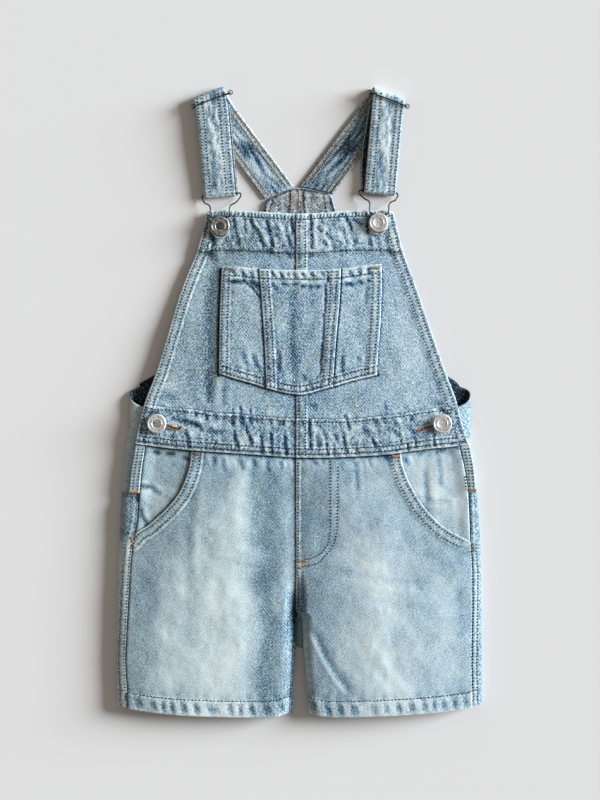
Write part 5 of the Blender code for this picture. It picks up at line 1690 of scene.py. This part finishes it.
def stitch_mesh(name, segments, radius, surface):
    """One small thread body for each stitch, all in one piece."""
    bm = bmesh.new()
    bmesh.ops.create_uvsphere(bm, u_segments=5, v_segments=4, radius=1.0)
    one = mesh_of(name + "_one", bm)
    body = read(one.vertices, "co", 3)
    bm = bmesh.new()
    for _ in segments:
        bm.from_mesh(one)
    mesh = mesh_of(name, bm, surface)
    bpy.data.meshes.remove(one)
    corners = []
    for start, end, thick in segments:
        start = (np.array(start) - MIDDLE) * MM
        end = (np.array(end) - MIDDLE) * MM
        way = end - start
        length = np.linalg.norm(way)
        way = way / length
        side = np.cross(way, (0.0, 0.0, 1.0))
        side /= np.linalg.norm(side)
        up = np.cross(side, way)
        r = radius * thick * MM
        corners.append((start + end) / 2 + body[:, :1] * r * side + body[:, 1:2] * r * up
                       + np.sign(body[:, 2:]) * np.abs(body[:, 2:]) ** 0.6 * length / 2 * way)
    mesh.vertices.foreach_set("co", np.concatenate(corners).ravel())
    mesh.shade_smooth()
    link(name, mesh, "denim")


def tack(points, colour="orange", width=2.4, step=0.7):
    """A bar tack: short stitches packed side by side across a line."""
    marks = resample(points, step)
    for (x, y), (dx, dy) in zip(marks, directions(marks)):
        z = height_at(x, y)
        if z is not None and z > LOWEST_STITCH:
            a, b = ((x - dy * half, y + dx * half, z + 0.25) for half in (width / 2, -width / 2))
            STITCHES[colour].append((a, b, 0.7))


def sew_body():
    """The rows of stitches of the legs, waistband, bib and pocket."""
    for side, sign in SIGN.items():
        for outset in SIDE_ROWS[side]:
            sew(line_along_y(BODY, side + "_seam", 14, 152) + np.array((sign * outset, 0)))
        for inset in stitch_rows("opening"):
            sew(offset(line_along_y(SCOOP, side, 156, 235, step=2.0), sign * inset))
        for inset in stitch_rows("bib edge"):
            sew(offset(line_along_y(BIB_SIDE, side, 240, 441), sign * inset))
        for inset in PLACKET_ROWS[side]:
            sew(line_along_y(PLACKET, side, 198, 236) - np.array((sign * inset, 0)))
    for table, column, low, high, shift in (
            (HEM, "y", -157, -12, HEM_ROW), (HEM, "y", 8, 155, HEM_ROW),
            (WAIST, "lower", -142, 144, 3.5), (WAIST, "lower", -136, 138, 7.9),
            (WAIST, "upper", -132, 134, -2.6), (BIB_TOP, "y", -76, 76, -5.0),
            (BIB_TOP, "y", -88, 88, -BIB_BAND_ROW)):
        sew(line_along_x(table, column, low, high, shift))
    for inset, low, high in ((3.2, 228, 282), (3.2, 393, 440), (9.0, 228, 282), (9.0, 393, 440),
                             (2.5, 96, 226), (6.8, 96, 132)):
        sew(upright(CENTRE_SEAM + inset, low, high))
    sew(route(INNER_FLY_ROW))
    sew(route([(32.8, 220), *FLY_ROW]))
    sew(line_along_x(POCKET_ENDS, "upper", -68, 68, -POCKET_HEM_ROW))
    for inset in stitch_rows("pocket foot"):
        sew(line_along_x(POCKET_ENDS, "lower", -68, 68, inset))
    for column, low, kind, hand in (
            ("left_edge", 300, "pocket edge", 1), ("left_seam", 292, "felled", 1),
            ("right_seam", 292, "felled", -1), ("right_edge", 300, "pocket edge", -1)):
        for inset in stitch_rows(kind):
            sew(line_along_y(POCKET, column, low, 391, hand * inset))


def sew_straps():
    for shape in STRAP_SHAPES:
        behind = shape.bottom + shape.loop
        for q in STRAP_FRONT_ROWS:
            sew([tuple(shape.start + shape.down_front * p + shape.side * shape.inward * q)
                 for p in np.arange(-3.0, 89.0, 2.0)])
        for w in STRAP_BACK_ROWS:
            sew([shape.point(s, w)[:2] for s in np.arange(-shape.back_length + 1, -4.0, 2.0)], "orange",
                STRAP_THICK + STITCH_LIFT, highest=0.8)
        if shape.name == "left":
            sew([shape.point(s, STRAP_REAR_ROW)[:2] for s in np.arange(behind + 2, behind + 74, 2.0)],
                "orange", STRAP_THICK + STITCH_LIFT, highest=3.5)


# bar tacks, in the steps of the crease tables: colour, width across, and the two ends
TACKS = (("colour", "width", "start", "end"),
         ("orange", 2.4, (128.5, 492), (138.5, 492)), ("orange", 2.4, (469, 490), (476, 490)),
         ("orange", 2.4, (298, 560.5), (306, 560.5)), ("orange", 2.4, (297, 566), (301, 567.5)),
         ("orange", 2.4, (392, 456), (400, 457)), ("orange", 2.4, (131.5, 537), (134, 546)),
         ("tan", 3.0, (225.5, 268.3), (233, 268.8)), ("tan", 3.0, (371, 267.8), (379, 268)),
         ("tan", 3.0, (473.5, 543), (474.5, 551)), ("tan", 3.0, (194, 453.5), (202, 454.5)))
BUTTONHOLES = (((165, 425), (169, 426), (173, 428), (177, 429), (180.5, 428), (182, 426)),
               ((434, 426), (430, 427), (424, 428.5), (419, 430.5), (417, 431.5)))


def sew_all():
    """Every visible row of stitches, and the bar tacks and buttonholes."""
    sew_body()
    sew_straps()
    for x in YOKE_ROWS:
        sew(upright(x, 444, 463, 3), "orange", highest=4.5)
    for colour, width, start, end in TACKS[1:]:
        tack([spot(*start), spot(*end)], colour, width)
    for places in BUTTONHOLES:
        middle = route([spot(*p) for p in places])
        tack(middle[:-1], "grey", 1.0, 0.5)
        for hand in (-1, 1):
            row = offset(middle, 1.3 * hand)
            row[-1] = middle[-1]
            tack(row, "orange", 1.0, 0.5)


# ---- making everything -------------------------------------------------------------------------
FLOOR_SIZE = 3.0     # metres
CAMERA_DISTANCE = 2.0
CAMERA_MIDDLE = (0.00026, 0.0011, 0.008)
SENSOR = 36.0
SEEN_LENGTH = 0.7    # length in metres that the camera takes in at the middle of the garment
SUN_STRENGTH = 8.4
SUN_SPREAD = math.radians(28.0)
SUN_COLOUR = (0.955, 1.0, 1.045)
SUN_RISE = math.radians(15.5)  # above the floor
SUN_TURN = math.radians(14.0)  # from straight to the right
FILL_STRENGTH = 0.22
FILL_COLOUR = (1.12, 0.98, 0.85, 1.0)


def floor():
    bm = bmesh.new()
    bmesh.ops.create_grid(bm, x_segments=1, y_segments=1, size=FLOOR_SIZE)
    made, _, _ = new_material("studio_paper", Base_Color=(0.8, 0.8, 0.8, 1.0), Roughness=0.95)
    surface = bpy.data.objects.new("studio_floor", mesh_of("studio_floor", bm, made))
    bpy.context.scene.collection.objects.link(surface)


def studio():
    """Pale paper, one low soft light from the right and a dim, slightly warm fill all round."""
    floor()
    light = bpy.data.lights.new("soft_window", "SUN")
    light.energy = SUN_STRENGTH
    light.angle = SUN_SPREAD
    light.color = SUN_COLOUR
    made = bpy.data.objects.new("soft_window", light)
    level = math.cos(SUN_RISE)
    way = Vector((level * math.cos(SUN_TURN), level * math.sin(SUN_TURN), math.sin(SUN_RISE)))
    made.rotation_euler = way.to_track_quat("Z", "Y").to_euler()
    bpy.context.scene.collection.objects.link(made)
    world = bpy.data.worlds.new("studio")
    world.use_nodes = True
    put(world.node_tree.nodes["Background"], Color=FILL_COLOUR, Strength=FILL_STRENGTH)
    bpy.context.scene.world = world
    bpy.context.scene.view_settings.view_transform = "Standard"


def camera():
    data = bpy.data.cameras.new("camera")
    data.lens = SENSOR * CAMERA_DISTANCE / SEEN_LENGTH
    data.sensor_width = SENSOR
    made = bpy.data.objects.new("camera", data)
    made.location = (*CAMERA_MIDDLE[:2], CAMERA_DISTANCE + CAMERA_MIDDLE[2])
    bpy.context.scene.collection.objects.link(made)
    bpy.context.scene.camera = made


camera()
studio()
for side in SIGN:
    for make in (leg, waistband, bib, pocket_facing, placket, back):
        make(side)
for part in STRIPS:
    pocket_strip(part)
yoke_facing()
for shape in STRAP_SHAPES:
    strap(shape)
for shape, (name, x, y) in zip(STRAP_SHAPES, BUTTONS[1:]):
    buckle(shape, x, y)
    slider(shape)
for name, x, y in BUTTONS[1:]:
    button(name, x, y, ANTIQUE if name == "bib_button_left" else BRIGHT)
sew_all()
for colour, radius, surface in (("grey", 0.78, GREY_THREAD), ("orange", 0.6, ORANGE_THREAD),
                                ("tan", 0.4, TAN_THREAD)):
    stitch_mesh(colour + "_stitches", STITCHES[colour], radius, surface)
